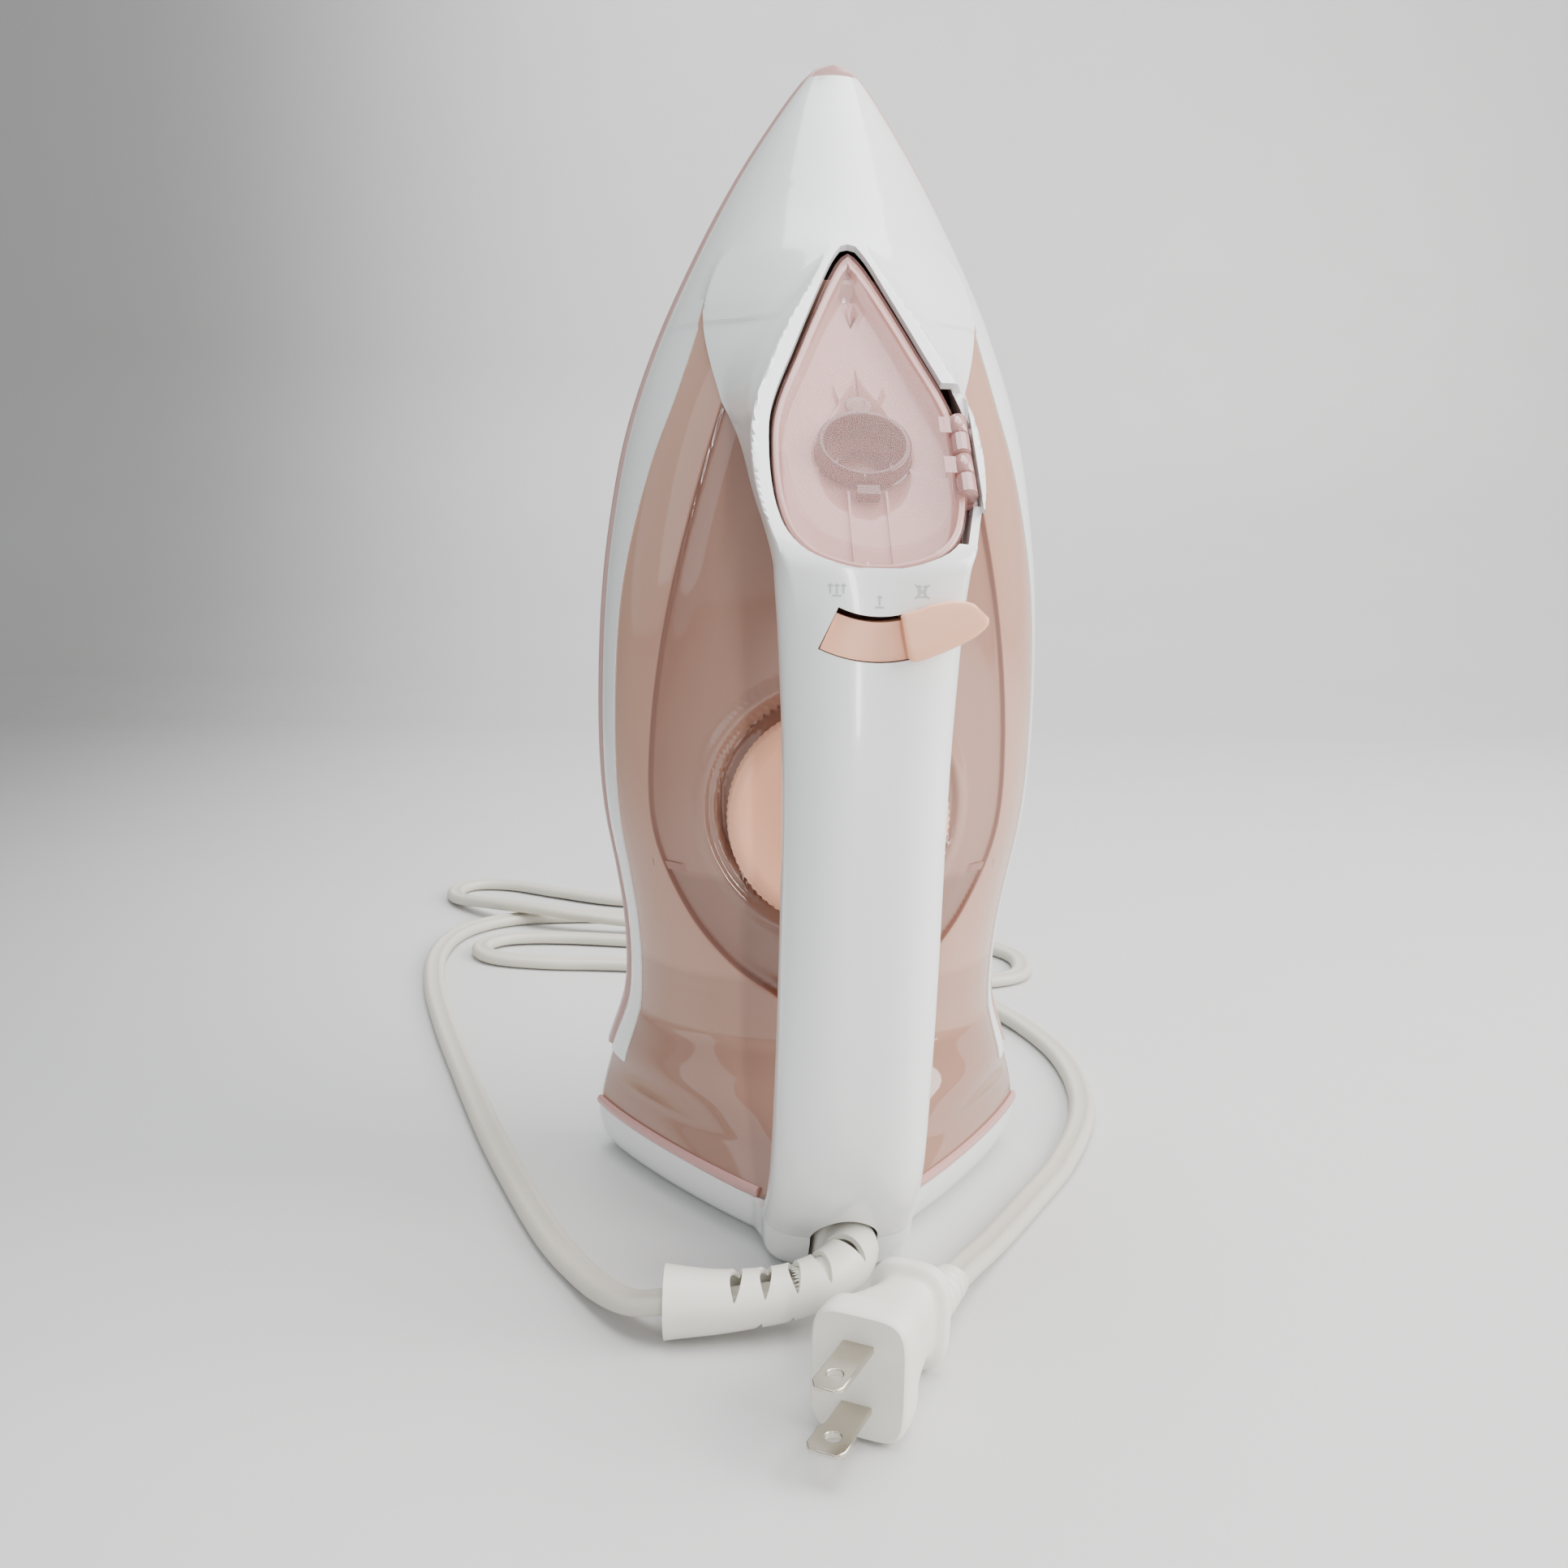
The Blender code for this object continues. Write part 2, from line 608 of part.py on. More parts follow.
def water_tank(f):
    """The clear tank shell with the heel wings, the raised ring round the dial and its openings."""
    outs, ins = [], []
    wall = WALL - 0.0002
    for share in (None, 0.060, 0.080, 0.100, 0.120, 0.145, 0.175, 0.23, 0.30, 0.38, 0.46, 0.54, 0.61, 0.66, 0.70, 0.735):
        z = TANK_START if share is None else along(share)
        edge = angle_of_depth(z, smooth(EDGE, z / LENGTH) + GAP * 1.3)
        spread = steps(math.pi - edge, edge, 21)
        outs.append([body_point(z, a, 0) for a in spread])
        ins.append([body_point(z, a, wall) for a in spread])
    z = along(SPLIT) - GAP * 1.3
    edge = angle_of_depth(z, smooth(EDGE, SPLIT) + GAP * 1.3)
    spread = steps(math.pi - edge, edge, 21)
    outs.append([body_point(z, a, 0) for a in spread])
    ins.append([body_point(z, a, wall) for a in spread])
    tank = loft("water_tank", channel(outs, ins), f["rose"])
    floor = dome_top(DIAL_Z) - 0.0070
    join(tank, ring_solid("dial_ring", at(0, floor, DIAL_Z), (0, -1, 0), [
        (0, DIAL_RADIUS + 0.0014), (0, DIAL_RADIUS + 0.0034), (DIAL_DEPTH - floor, DIAL_RADIUS + 0.0034),
        (DIAL_DEPTH - floor, DIAL_RADIUS + 0.0014),
    ], f["rose"], 32))
    cut(tank, turned("spindle_hole", at(0, 0.030, DIAL_Z), (0, -1, 0),
                     [(0, SPINDLE_RADIUS + PLAY), (0.040, SPINDLE_RADIUS + PLAY)], f["rose"], 16))
    cut(tank, turned("stem_hole", at(0, 0.035, PIVOT_Z), (0, -1, 0), [(0, 0.0022), (0.040, 0.0022)], f["rose"], 12))
    cut(tank, turned("fill_hole", at(0, 0.035, FUNNEL_Z), (0, -1, 0),
                     [(0, FUNNEL_END + GAP * 2), (0.040, FUNNEL_END + GAP * 2)], f["rose"], 20))
    cut(tank, handle_block("handle_room", GAP * 1.3, f["rose"], TANK_START - 0.002, along(0.180)))
    return tank


def tank_base(f):
    """Floor and back wall of the water space, welded into the tank shell."""
    inset, start, depth = 0.0046, along(0.300), 0.0225
    plate = loft("tank_base", [
        outline(inset, start, along(0.735), depth, 11), outline(inset, start, along(0.735), depth + 0.002, 11),
    ], f["rose"])
    wall = []
    foot = angle_of_depth(start, depth + 0.0010)
    for z in (start, start + 0.002):
        wall.append([body_point(z, a, WALL + 0.0010) for a in steps(math.pi - foot, foot, 13)])
    bulkhead = loft("bulkhead", wall, f["rose"])
    room = DIAL_RADIUS + 0.0042
    cut(bulkhead, turned("ring_room", at(0, dome_top(DIAL_Z) - 0.0076, DIAL_Z), (0, -1, 0),
                         [(0, room), (0.040, room)], f["rose"], 32))
    join(plate, bulkhead)
    for z, radius in ((DIAL_Z, 0.0065), (PIVOT_Z, 0.0050)):
        cut(plate, turned("hole", at(0, depth - 0.004, z), (0, -1, 0), [(0, radius), (0.010, radius)], f["rose"], 16))
    top = dome_top(DIAL_Z) - WALL - 0.0012
    ring_solid("spindle_tube", at(0, depth + 0.0030 - 0.008, DIAL_Z), (0, -1, 0), [
        (0, 0.0042), (0, 0.0060), (top - depth + 0.005, 0.0060), (top - depth + 0.005, 0.0042),
    ], f["rose"], 16)
    return plate


# ---------------------------------------------------------------- handle
def handle_block(name, grow, mat, low, high):
    """The handle's whole section as a solid, grown all round, for making room."""
    rings = []
    for z in steps(low, high, 7):
        top, wide = handle_top(z) + grow, handle_half(z) + grow
        foot = handle_top(z) - COVER_SIDE
        over = arch(wide, foot, top, z, 13)
        under = arch(wide, foot, handle_top(z) - HANDLE_THICK - grow, z, 13)
        rings.append(over + under[::-1][1:-1])
    return loft(name, rings, mat)


def handle_stations():
    return [HEEL_TOP + GAP] + [along(s) for s in (0.060, 0.085, 0.110, 0.140, 0.18, 0.24, 0.32, 0.40, 0.48, 0.53, 0.5745)]


def handle_cover(f):
    outs, ins = [], []
    for z in handle_stations():
        top, wide = handle_top(z), handle_half(z)
        outs.append(arch(wide, top - COVER_SIDE, top, z))
        ins.append(arch(wide - WALL, top - COVER_SIDE, top - WALL, z))
    cover = loft("handle_cover", channel(outs, ins), f["white"])
    cut(cover, lever_slot(f))
    cut(cover, outlet_cutter(f, GAP * 2))
    cut(cover, lid_opening(f))
    return cover


def underside_thick(z):
    """The underside drops to the tank at its upper end, where it closes the neck."""
    share = z / LENGTH
    reach = handle_top(z) - dome_top(z) - 0.0008
    t = min(max((share - 0.500) / 0.0745, 0), 1)
    return HANDLE_THICK + (reach - HANDLE_THICK) * t * t


def handle_underside(f):
    outs, ins = [], []
    stations = handle_stations()
    extra = [along(s) for s in (0.510, 0.545, 0.560)]
    for z in sorted(stations + extra):
        top, wide = handle_top(z), handle_half(z)
        foot = top - COVER_SIDE - GAP
        low = top - underside_thick(z)
        outs.append(arch(wide, foot, low, z))
        ins.append(arch(wide - WALL, foot, low + WALL, z))
    under = loft("handle_underside", channel(outs, ins), f["rose"])
    cut(under, outlet_cutter(f, GAP * 2))
    return under


# ---------------------------------------------------------------- heel and cord outlet
OUTLET_HALF = 0.0072
OUTLET_LOW = 0.0045
OUTLET_TOP = 0.0200
OUTLET_IN = 0.0760      # depth where the gland's inner end sits


def outlet_outline(grow, depth, count=9):
    """The arched outline of the cord outlet."""
    half = OUTLET_HALF + grow
    centre = OUTLET_TOP - OUTLET_HALF
    bend = [(half * math.cos(a), centre + half * math.sin(a)) for a in steps(0, math.pi, count)]
    return [at(x, depth, z) for x, z in [(-half, OUTLET_LOW - grow), (half, OUTLET_LOW - grow)] + bend]


def outlet_cutter(f, grow):
    return loft("outlet", [outlet_outline(grow, OUTLET_IN - 0.004), outlet_outline(grow, 0.115)], f["white"])


def heel_ring(z, inset=0.0):
    """Outline of the heel cover at a height, shrunk towards the floor."""
    t = min(z / HEEL_TOP, 1)
    shrink_x = 1 - 0.075 * (1 - t) ** 2.2
    shrink_d = 1 - 0.125 * (1 - t) ** 1.5
    base = TANK_START
    wide = half_width(base)
    side = handle_half(base)
    top = handle_top(base)
    flank = []
    for a in steps(0.0, 1.25, 9):
        p = body_point(base, a, 0)
        if p.x > side + 0.0015:
            flank.append((p.x, SOLE_Y - p.y))
    right = [(wide - 0.0045, 0.0070), (wide - 0.0008, 0.0110)] + flank
    right += [(side, top - COVER_SIDE * 1.05), (side * 0.95, top - 0.0070), (side * 0.66, top - 0.0014), (0.0030, top)]
    ring = []
    for x, depth in right:
        x = x * shrink_x - inset
        d = 0.010 + (depth - 0.010) * shrink_d
        d = d - inset if depth > 0.02 else max(d, 0.0070 + inset)
        ring.append((max(x, 0.0015), d))
    return [at(x, d, z) for x, d in ring] + [at(-x, d, z) for x, d in reversed(ring)]


HEEL_SCREWS = ((0.0400, 0.0250), (-0.0400, 0.0250))


def heel_cover(f):
    rings = [heel_ring(z, WALL) for z in (WALL,)] + [heel_ring(HEEL_TOP, WALL)]
    rings += [heel_ring(z) for z in (HEEL_TOP, 0.0090, 0.0055, 0.0025, 0.0008)] + [heel_ring(0.0, 0.0012)]
    cover = loft("heel_cover", rings, f["white"])
    cut(cover, outlet_cutter(f, GAP * 2))
    for x, depth in HEEL_SCREWS:
        cut(cover, turned("hole", at(x, depth, -0.001), (0, 0, 1), [(0, 0.0032), (0.0018, 0.0032), (0.00181, 0.0019),
                                                                   (0.0050, 0.0019)], f["white"], 12))
    for i, (x, depth) in enumerate(HEEL_SCREWS):
        turned(f"heel_screw_{i + 1}", at(x, depth, 0.0010), (0, 0, 1),
               [(-0.0009, 0.0026), (-0.0006, 0.0028), (-0.00059, 0.0015), (0.0100, 0.0015)], f["steel"], 12)
    return cover


def cord_gland(f):
    """The rounded root that the cord guard grows from, held in the outlet."""
    rings = [outlet_outline(-0.0030, OUTLET_IN), outlet_outline(-0.0008, OUTLET_IN + 0.003)]
    rings += [outlet_outline(-0.0004, 0.0920), outlet_outline(-0.0008, 0.0980), outlet_outline(-0.0022, 0.1014)]
    return loft("cord_gland", rings, f["ivory"])


# ---------------------------------------------------------------- filler
MOUTH = slope_point(0, MOUTH_AT, -0.0018)
MOUTH_Z = MOUTH.z
FUNNEL_END = 0.0065
FUNNEL_Z = MOUTH_Z - 0.0050
FUNNEL_NECK = 0.0660
FUNNEL_DEPTH = 0.0460


def filler(f):
    tray = loft("filler_tray", [
        lid_outline(0.0005, -TRAY_DROP), lid_outline(0.0005, -TRAY_DROP - 0.0012),
    ], f["lid"])
    cut(tray, turned("hole", MOUTH - SLOPE_OUT * 0.012, SLOPE_OUT,
                     [(0, MOUTH_RADIUS + MOUTH_WALL + GAP), (0.020, MOUTH_RADIUS + MOUTH_WALL + GAP)], f["lid"], 28))
    cut(tray, turned("pivot_room", at(0, 0.080, PIVOT_Z), (0, -1, 0), [(0, 0.0052), (0.025, 0.0052)], f["lid"], 12))
    rim = MOUTH - SLOPE_OUT * 0.0010
    under = MOUTH - SLOPE_OUT * 0.0064
    neck_end, low = at(0, FUNNEL_NECK, FUNNEL_Z), at(0, FUNNEL_DEPTH, FUNNEL_Z)

    def circle(centre, up, radius):
        """A ring of the funnel, facing across the slope or straight into the tank."""
        spread = [2 * math.pi * i / 24 for i in range(24)]
        return [centre + Vector((radius * math.cos(a), 0, 0)) + up * radius * math.sin(a) for a in spread]

    outer, inner = [], []
    for centre, up, radius in (
        (rim, SLOPE_UP, MOUTH_RADIUS + MOUTH_WALL), (under, SLOPE_UP, MOUTH_RADIUS + MOUTH_WALL),
        (neck_end, Vector((0, 0, 1)), FUNNEL_END), (low, Vector((0, 0, 1)), FUNNEL_END),
    ):
        outer.append(circle(centre, up, radius))
        inner.append(circle(centre, up, radius - MOUTH_WALL * 0.9))
    loft("filler_mouth", outer + inner[::-1], f["mauve"], closed=True)
    return tray


def filler_lid(f):
    top = [lid_outline(0.0, -LID_RIM), lid_outline(0.0, -0.0012), lid_outline(0.0010, 0.0),
           lid_outline(0.0060, 0.0006)]
    inside = [lid_outline(LID_THICK * 0.8, -LID_RIM), lid_outline(LID_THICK * 0.9, -LID_THICK - 0.0004)]
    lid = loft("filler_lid", inside[::-1] + top, f["lid"])
    half = HINGE_LONG / 2
    edge = HINGE_X - KNUCKLE_RADIUS - PLAY
    cut(lid, slope_block("room", (edge, 0.0300), (HINGE_AT - half - PLAY, HINGE_AT + half + PLAY),
                         (-0.0080, 0.0040), f["lid"]))
    for i, t in enumerate(steps(HINGE_AT - half, HINGE_AT + half, 5)[:-1]):
        if i % 2 == 1:
            a, b = t + PLAY / 2, t + HINGE_LONG / 4 - PLAY / 2
            join(lid, knuckle("lid_knuckle", a, b, KNUCKLE_RADIUS, f["lid"]))
            join(lid, slope_block("arm", (edge - 0.0016, HINGE_X - 0.0002), (a + 0.0002, b - 0.0002),
                                  (-0.0015, -0.0001), f["lid"]))
    cut(lid, knuckle("bore", HINGE_AT - half - 0.002, HINGE_AT + half + 0.002, PIN_RADIUS + GAP, f["lid"]))
    return lid


def slope_block(name, across, along_slope, lifts, mat):
    """A block lying in the slope's own directions."""
    corners = [(across[0], lifts[0]), (across[1], lifts[0]), (across[1], lifts[1]), (across[0], lifts[1])]
    return loft(name, [[slope_point(x, t, lift) for x, lift in corners] for t in along_slope], mat)


def knuckle(name, low, high, radius, mat):
    return turned(name, slope_point(HINGE_X, low, HINGE_LIFT), SLOPE_UP, [(0, radius), (high - low, radius)], mat, 12)


HINGE_LIFT = -0.0010


def hinge(f):
    half = HINGE_LONG / 2
    knuckle("lid_hinge_pin", HINGE_AT - half + PLAY, HINGE_AT + half - PLAY, PIN_RADIUS, f["steel"])
    starts = [t for i, t in enumerate(steps(HINGE_AT - half, HINGE_AT + half, 5)[:-1]) if i % 2 == 0]
    reach = KNUCKLE_RADIUS + PLAY - GAP
    shelf = [(HINGE_X - KNUCKLE_RADIUS, -0.0046), (HINGE_X + reach, -0.0046),
             (HINGE_X + reach, -0.0036), (HINGE_X - KNUCKLE_RADIUS, -0.0036)]
    low, high = HINGE_AT - half + GAP, HINGE_AT + half - GAP
    bracket = loft("lid_hinge_bracket", [[slope_point(x, t, lift) for x, lift in shelf] for t in (low, high)], f["lid"])
    for t in starts:
        a, b = t + PLAY, t + HINGE_LONG / 4 - PLAY / 2
        join(bracket, knuckle("knuckle", a, b, KNUCKLE_RADIUS, f["lid"]))
        a, b = a + 0.0002, b - 0.0002
        leg = [(HINGE_X - 0.0007, -0.0041), (HINGE_X + 0.0015, -0.0041), (HINGE_X + 0.0015, -0.0014),
               (HINGE_X - 0.0007, -0.0014)]
        join(bracket, loft("leg", [[slope_point(x, u, lift) for x, lift in leg] for u in (a, b)], f["lid"]))
    cut(bracket, knuckle("bore", HINGE_AT - half - 0.002, HINGE_AT + half + 0.002, PIN_RADIUS + GAP, f["lid"]))
    return bracket


# ---------------------------------------------------------------- steam lever and valve
LEVER_REST = 18.0       # degrees to the right of the middle
NECK_HALF_ANGLE = 4.0
NECK_THICK = 0.0010
COVER_TOP = handle_top(PIVOT_Z - LEVER_RADIUS)
NECK_RADIUS = LEVER_RADIUS - SLOT_HALF + NECK_GAP / 2


def round_pivot(radius, degrees, depth):
    """A place round the lever's pivot; degrees go to the right of straight down."""
    a = math.radians(degrees)
    return at(radius * math.sin(a), depth, PIVOT_Z - radius * math.cos(a))


def sector(name, r0, r1, a0, a1, depths, mat, count=9):
    """A curved bar round the pivot; depths gives (low, high) at each angle."""
    rings = []
    for a in steps(a0, a1, count):
        low, high = depths(a)
        rings.append([round_pivot(r0, a, low), round_pivot(r1, a, low), round_pivot(r1, a, high), round_pivot(r0, a, high)])
    return loft(name, rings, mat)


def cover_depth(x):
    """Depth of the handle cover's skin at a place across it, by the lever."""
    wide = handle_half(PIVOT_Z - LEVER_RADIUS)
    c = min(abs(x) / wide, 1.0) ** (1 / 0.62)
    return COVER_TOP - COVER_SIDE + COVER_SIDE * math.sqrt(1 - c * c) ** 0.80


def lever_slot(f):
    half = SLOT_ANGLE + 1.5
    return sector("slot", LEVER_RADIUS - SLOT_HALF, LEVER_RADIUS + SLOT_HALF, -half, half,
                  lambda a: (COVER_TOP - 0.012, COVER_TOP + 0.006), f["peach"])


def lever_parts(f):
    half = SLOT_ANGLE + 1.5 - 0.8
    inner = LEVER_RADIUS - SLOT_HALF + NECK_GAP
    track_low = COVER_TOP - 0.0060

    def track(a):
        x = LEVER_RADIUS * math.sin(math.radians(a))
        return track_low, cover_depth(x) - 0.0009

    sector("lever_track", inner, LEVER_RADIUS + SLOT_HALF - GAP, -half, half, track, f["peach"])

    lever = turned("steam_lever", at(0, ARM_DEPTH - 0.0050, PIVOT_Z), (0, -1, 0),
                   [(0, 0.0034), (0.0074, 0.0034)], f["peach"], 16)
    low, high = LEVER_REST - NECK_HALF_ANGLE, LEVER_REST + NECK_HALF_ANGLE
    r0, r1 = NECK_RADIUS - NECK_THICK / 2, NECK_RADIUS + NECK_THICK / 2
    join(lever, sector("arm", 0.0020, r1, low, high, lambda a: (ARM_DEPTH, ARM_DEPTH + 0.0024), f["peach"], 5))
    join(lever, sector("neck", r0, r1, low, high, lambda a: (ARM_DEPTH + 0.0004, DEPTH - 0.0007), f["peach"], 5))
    join(lever, lever_tab(f))
    return lever


def lever_tab(f):
    """The thumb tab: it starts over the slot's end and reaches out past the handle's side."""
    reach = [(-5.0, NECK_RADIUS - 0.0008, NECK_RADIUS + 0.0090), (2.0, NECK_RADIUS - 0.0008, NECK_RADIUS + 0.0088),
             (12.0, NECK_RADIUS - 0.0004, NECK_RADIUS + 0.0092), (22.0, NECK_RADIUS + 0.0012, NECK_RADIUS + 0.0096),
             (29.0, NECK_RADIUS + 0.0042, NECK_RADIUS + 0.0092)]
    rings = []
    for turn, r0, r1 in reach:
        a = LEVER_REST + turn
        rings.append([round_pivot(r0, a, DEPTH - 0.0024), round_pivot(r1, a, DEPTH - 0.0024),
                      round_pivot(r1, a, DEPTH - 0.0004), round_pivot((r0 + r1) / 2, a, DEPTH),
                      round_pivot(r0, a, DEPTH - 0.0004)])
    return loft("tab", rings, f["peach"])


ARM_DEPTH = 0.0985
STEM_RADIUS = 0.0015


def valve(f):
    top = ARM_DEPTH - 0.0050 - GAP - STEM_LIFT
    turned("valve_stem", at(0, 0.0245, PIVOT_Z), (0, -1, 0),
           [(0, 0.0006), (0.0030, STEM_RADIUS), (top - 0.0245, STEM_RADIUS)], f["steel"], 10)
    ring_solid("valve_seat", at(0, SHIELD_DEPTH + 0.0005, PIVOT_Z), (0, -1, 0), [
        (0, 0.0010), (0, 0.0034), (0.0140, 0.0034), (0.0140, 0.0020), (0.0100, 0.0010),
    ], f["red"], 16)
    wide = min(smooth(NECK_WIDE, z / LENGTH) for z in (PIVOT_Z - 0.005, PIVOT_Z + 0.0045)) - WALL - 0.0010
    bridge = block("lever_bridge", at(-wide, top - STEM_LIFT - 0.0055, PIVOT_Z - 0.005),
                   at(wide, top - STEM_LIFT - 0.0030, PIVOT_Z + 0.0034), f["white"])
    cut(bridge, turned("hole", at(0, top - 0.02, PIVOT_Z), (0, -1, 0), [(0, 0.0021), (0.030, 0.0021)], f["white"], 12))
    turns, radius, wire = 6, 0.0029, 0.0004
    low, high = dome_top(PIVOT_Z) + 0.0010, top - STEM_LIFT - 0.0065
    coil = []
    for i in range(turns * 10 + 1):
        a = 2 * math.pi * i / 10
        coil.append(at(radius * math.cos(a), low + (high - low) * i / (turns * 10), PIVOT_Z + radius * math.sin(a)))
    tube("valve_spring", coil, wire, f["steel"], 0)


# ---------------------------------------------------------------- dial
def dial(f):
    low = DIAL_DEPTH - 0.0030
    turned("temperature_dial", at(0, low, DIAL_Z), (0, -1, 0), [
        (0, DIAL_RADIUS - 0.0010), (0.0010, DIAL_RADIUS), (DIAL_THICK - 0.0020, DIAL_RADIUS),
        (DIAL_THICK - 0.0006, DIAL_RADIUS - 0.0007), (DIAL_THICK, DIAL_RADIUS - 0.0024),
    ], f["peach"], 40)
    turned("dial_spindle", at(0, low - GAP, DIAL_Z), (0, 1, 0),
           [(0, SPINDLE_RADIUS), (low - GAP - SOLE_THICK - 0.0192, SPINDLE_RADIUS)], f["alloy"], 14)


# ---------------------------------------------------------------- cord
GUARD_ROUTE = (  # across, depth, height
    (0.0010, 0.1038, 0.0128), (0.0009, 0.1056, 0.0128), (-0.0016, 0.1102, 0.0122), (-0.0072, 0.1145, 0.0108),
    (-0.0140, 0.1168, 0.0096), (-0.0220, 0.1179, 0.0089), (-0.0310, 0.1184, 0.0085), (-0.0410, 0.1176, 0.0083),
)
CORD_ROUTE = (  # across, along Y, height: out of the guard, round behind the iron in loose loops, and back in front
    (-0.0480, -0.0498, 0.0066), (-0.0545, -0.0400, 0.0048), (-0.0605, -0.0280, 0.0041), (-0.0675, -0.0130, 0.0040),
    (-0.0760, 0.0110, 0.0040), (-0.0885, 0.0510, 0.0040), (-0.1025, 0.1030, 0.0040), (-0.1145, 0.1500, 0.0040),
    (-0.1240, 0.1950, 0.0040), (-0.1280, 0.2350, 0.0040), (-0.1220, 0.2680, 0.0040), (-0.1010, 0.2880, 0.0040),
    (-0.0600, 0.2920, 0.0040), (-0.0100, 0.2850, 0.0040), (0.0400, 0.2740, 0.0040), (0.0780, 0.2570, 0.0040),
    (0.0980, 0.2350, 0.0040), (0.1015, 0.2160, 0.0040), (0.0920, 0.2010, 0.0040), (0.0680, 0.1950, 0.0040),
    (0.0300, 0.2000, 0.0040), (-0.0150, 0.2120, 0.0040), (-0.0560, 0.2200, 0.0040), (-0.0860, 0.2230, 0.0040),
    (-0.1060, 0.2300, 0.0040), (-0.1120, 0.2440, 0.0040), (-0.1030, 0.2560, 0.0040), (-0.0800, 0.2580, 0.0040),
    (-0.0400, 0.2510, 0.0040), (0.0020, 0.2440, 0.0040), (0.0380, 0.2480, 0.0062), (0.0580, 0.2670, 0.0122),
    (0.0560, 0.2930, 0.0062), (0.0280, 0.3090, 0.0040), (-0.0150, 0.3130, 0.0040), (-0.0580, 0.3190, 0.0040),
    (-0.0860, 0.3340, 0.0040), (-0.1080, 0.3490, 0.0040), (-0.1260, 0.3530, 0.0040), (-0.1350, 0.3400, 0.0040),
    (-0.1300, 0.3210, 0.0052), (-0.1130, 0.3000, 0.0098), (-0.0940, 0.2850, 0.0122), (-0.0660, 0.2740, 0.0098),
    (-0.0250, 0.2680, 0.0056), (0.0080, 0.2590, 0.0086), (0.0300, 0.2410, 0.0122), (0.0480, 0.2190, 0.0104),
    (0.0620, 0.1960, 0.0122), (0.0740, 0.1690, 0.0066), (0.0840, 0.1450, 0.0040), (0.0890, 0.1170, 0.0040),
    (0.0880, 0.0880, 0.0040), (0.0820, 0.0610, 0.0040), (0.0690, 0.0310, 0.0040), (0.0530, 0.0050, 0.0040),
    (0.0390, -0.0170, 0.0042), (0.0290, -0.0330, 0.0052), (0.0228, -0.0442, 0.0064),
)
CORD_REACH = 0.0450     # longest straight stretch of the modelled cord
CORD_TURN = 20.0        # most degrees it bends at one point


def curve_through(points, step):
    """Evenly spaced places on one smooth curve through the points."""
    fine = []
    points = [Vector(p) for p in points]
    ends = [points[0] * 2 - points[1], *points, points[-1] * 2 - points[-2]]
    for a, b, c, d in zip(ends, ends[1:], ends[2:], ends[3:]):
        for i in range(16):
            t = i / 16
            fine.append(0.5 * (2 * b + (c - a) * t + (2 * a - 5 * b + 4 * c - d) * t**2 + (3 * b - a - 3 * c + d) * t**3))
    fine.append(points[-1])
    far = [0.0]
    for a, b in zip(fine, fine[1:]):
        far.append(far[-1] + (b - a).length)
    count = max(2, round(far[-1] / step))
    places, k = [], 0
    for i in range(count + 1):
        want = far[-1] * i / count
        while k < len(far) - 2 and far[k + 1] < want:
            k += 1
        places.append(fine[k].lerp(fine[k + 1], (want - far[k]) / max(far[k + 1] - far[k], 1e-9)))
    return places


def frames(points):
    """A side and an up direction at each point of a path, for rings round it."""
    made = []
    for i, p in enumerate(points):
        ahead = (points[min(i + 1, len(points) - 1)] - points[max(i - 1, 0)]).normalized()
        side = ahead.cross(Vector((0, 0, 1))).normalized()
        made.append((p, side, side.cross(ahead).normalized()))
    return made


def cord_guard(f):
    places = frames(curve_through([at(*p) for p in GUARD_ROUTE], 0.0045))
    last = len(places) - 1

    def ring(frame, radius):
        p, side, up = frame
        return [p + side * radius * math.cos(2 * math.pi * i / 14) + up * radius * math.sin(2 * math.pi * i / 14)
                for i in range(14)]

    outer, inner = [], []
    for i, frame in enumerate(places):
        share = i / last
        radius = GUARD_RADIUS + (GUARD_FLARE - GUARD_RADIUS) * share**3
        outer.append(ring(frame, radius))
        inner.append(ring(frame, radius - GUARD_WALL))
    return loft("cord_guard", outer + inner[::-1], f["ivory"], closed=True)


def power_cord(f):
    guard = [at(*p) for p in GUARD_ROUTE]
    fine = curve_through([*guard, *[Vector(p) for p in CORD_ROUTE]], 0.0020)
    places, ahead = [fine[1]], fine[2] - fine[1]
    for before, place in zip(fine[1:-1], fine[2:]):
        turned_by = ahead.angle(place - before)
        if (place - places[-1]).length > CORD_REACH or turned_by > math.radians(CORD_TURN):
            places.append(place)
            ahead = place - before
    places.append(fine[-1])
    for place in places:
        place.z = max(place.z, CORD_WIDTH / 2 + 0.0001)
    return tube("power_cord", places, CORD_WIDTH / 2, f["cream"], 2)


# ---------------------------------------------------------------- plug
PLUG_START = Vector((0.0225, -0.0448, 0.0066))
PLUG_AHEAD = Vector((-0.479, -0.878, 0.0)).normalized()
PLUG_SIDE = Vector((0.878, -0.479, 0.0)).normalized()
PLUG_LONG = 0.0560
BLADE_LONG = 0.0172


def plug_ring(along_axis, wide, tall, middle, corner=0.55, count=20):
    """A rounded section of the plug, standing across its axis."""
    centre = PLUG_START + PLUG_AHEAD * along_axis
    ring = []
    for i in range(count):
        a = 2 * math.pi * i / count
        c, s = math.cos(a), math.sin(a)
        x, z = math.copysign(abs(c) ** corner, c) * wide / 2, math.copysign(abs(s) ** corner, s) * tall / 2
        ring.append(Vector((centre.x, centre.y, middle + z)) + PLUG_SIDE * x)
    return ring


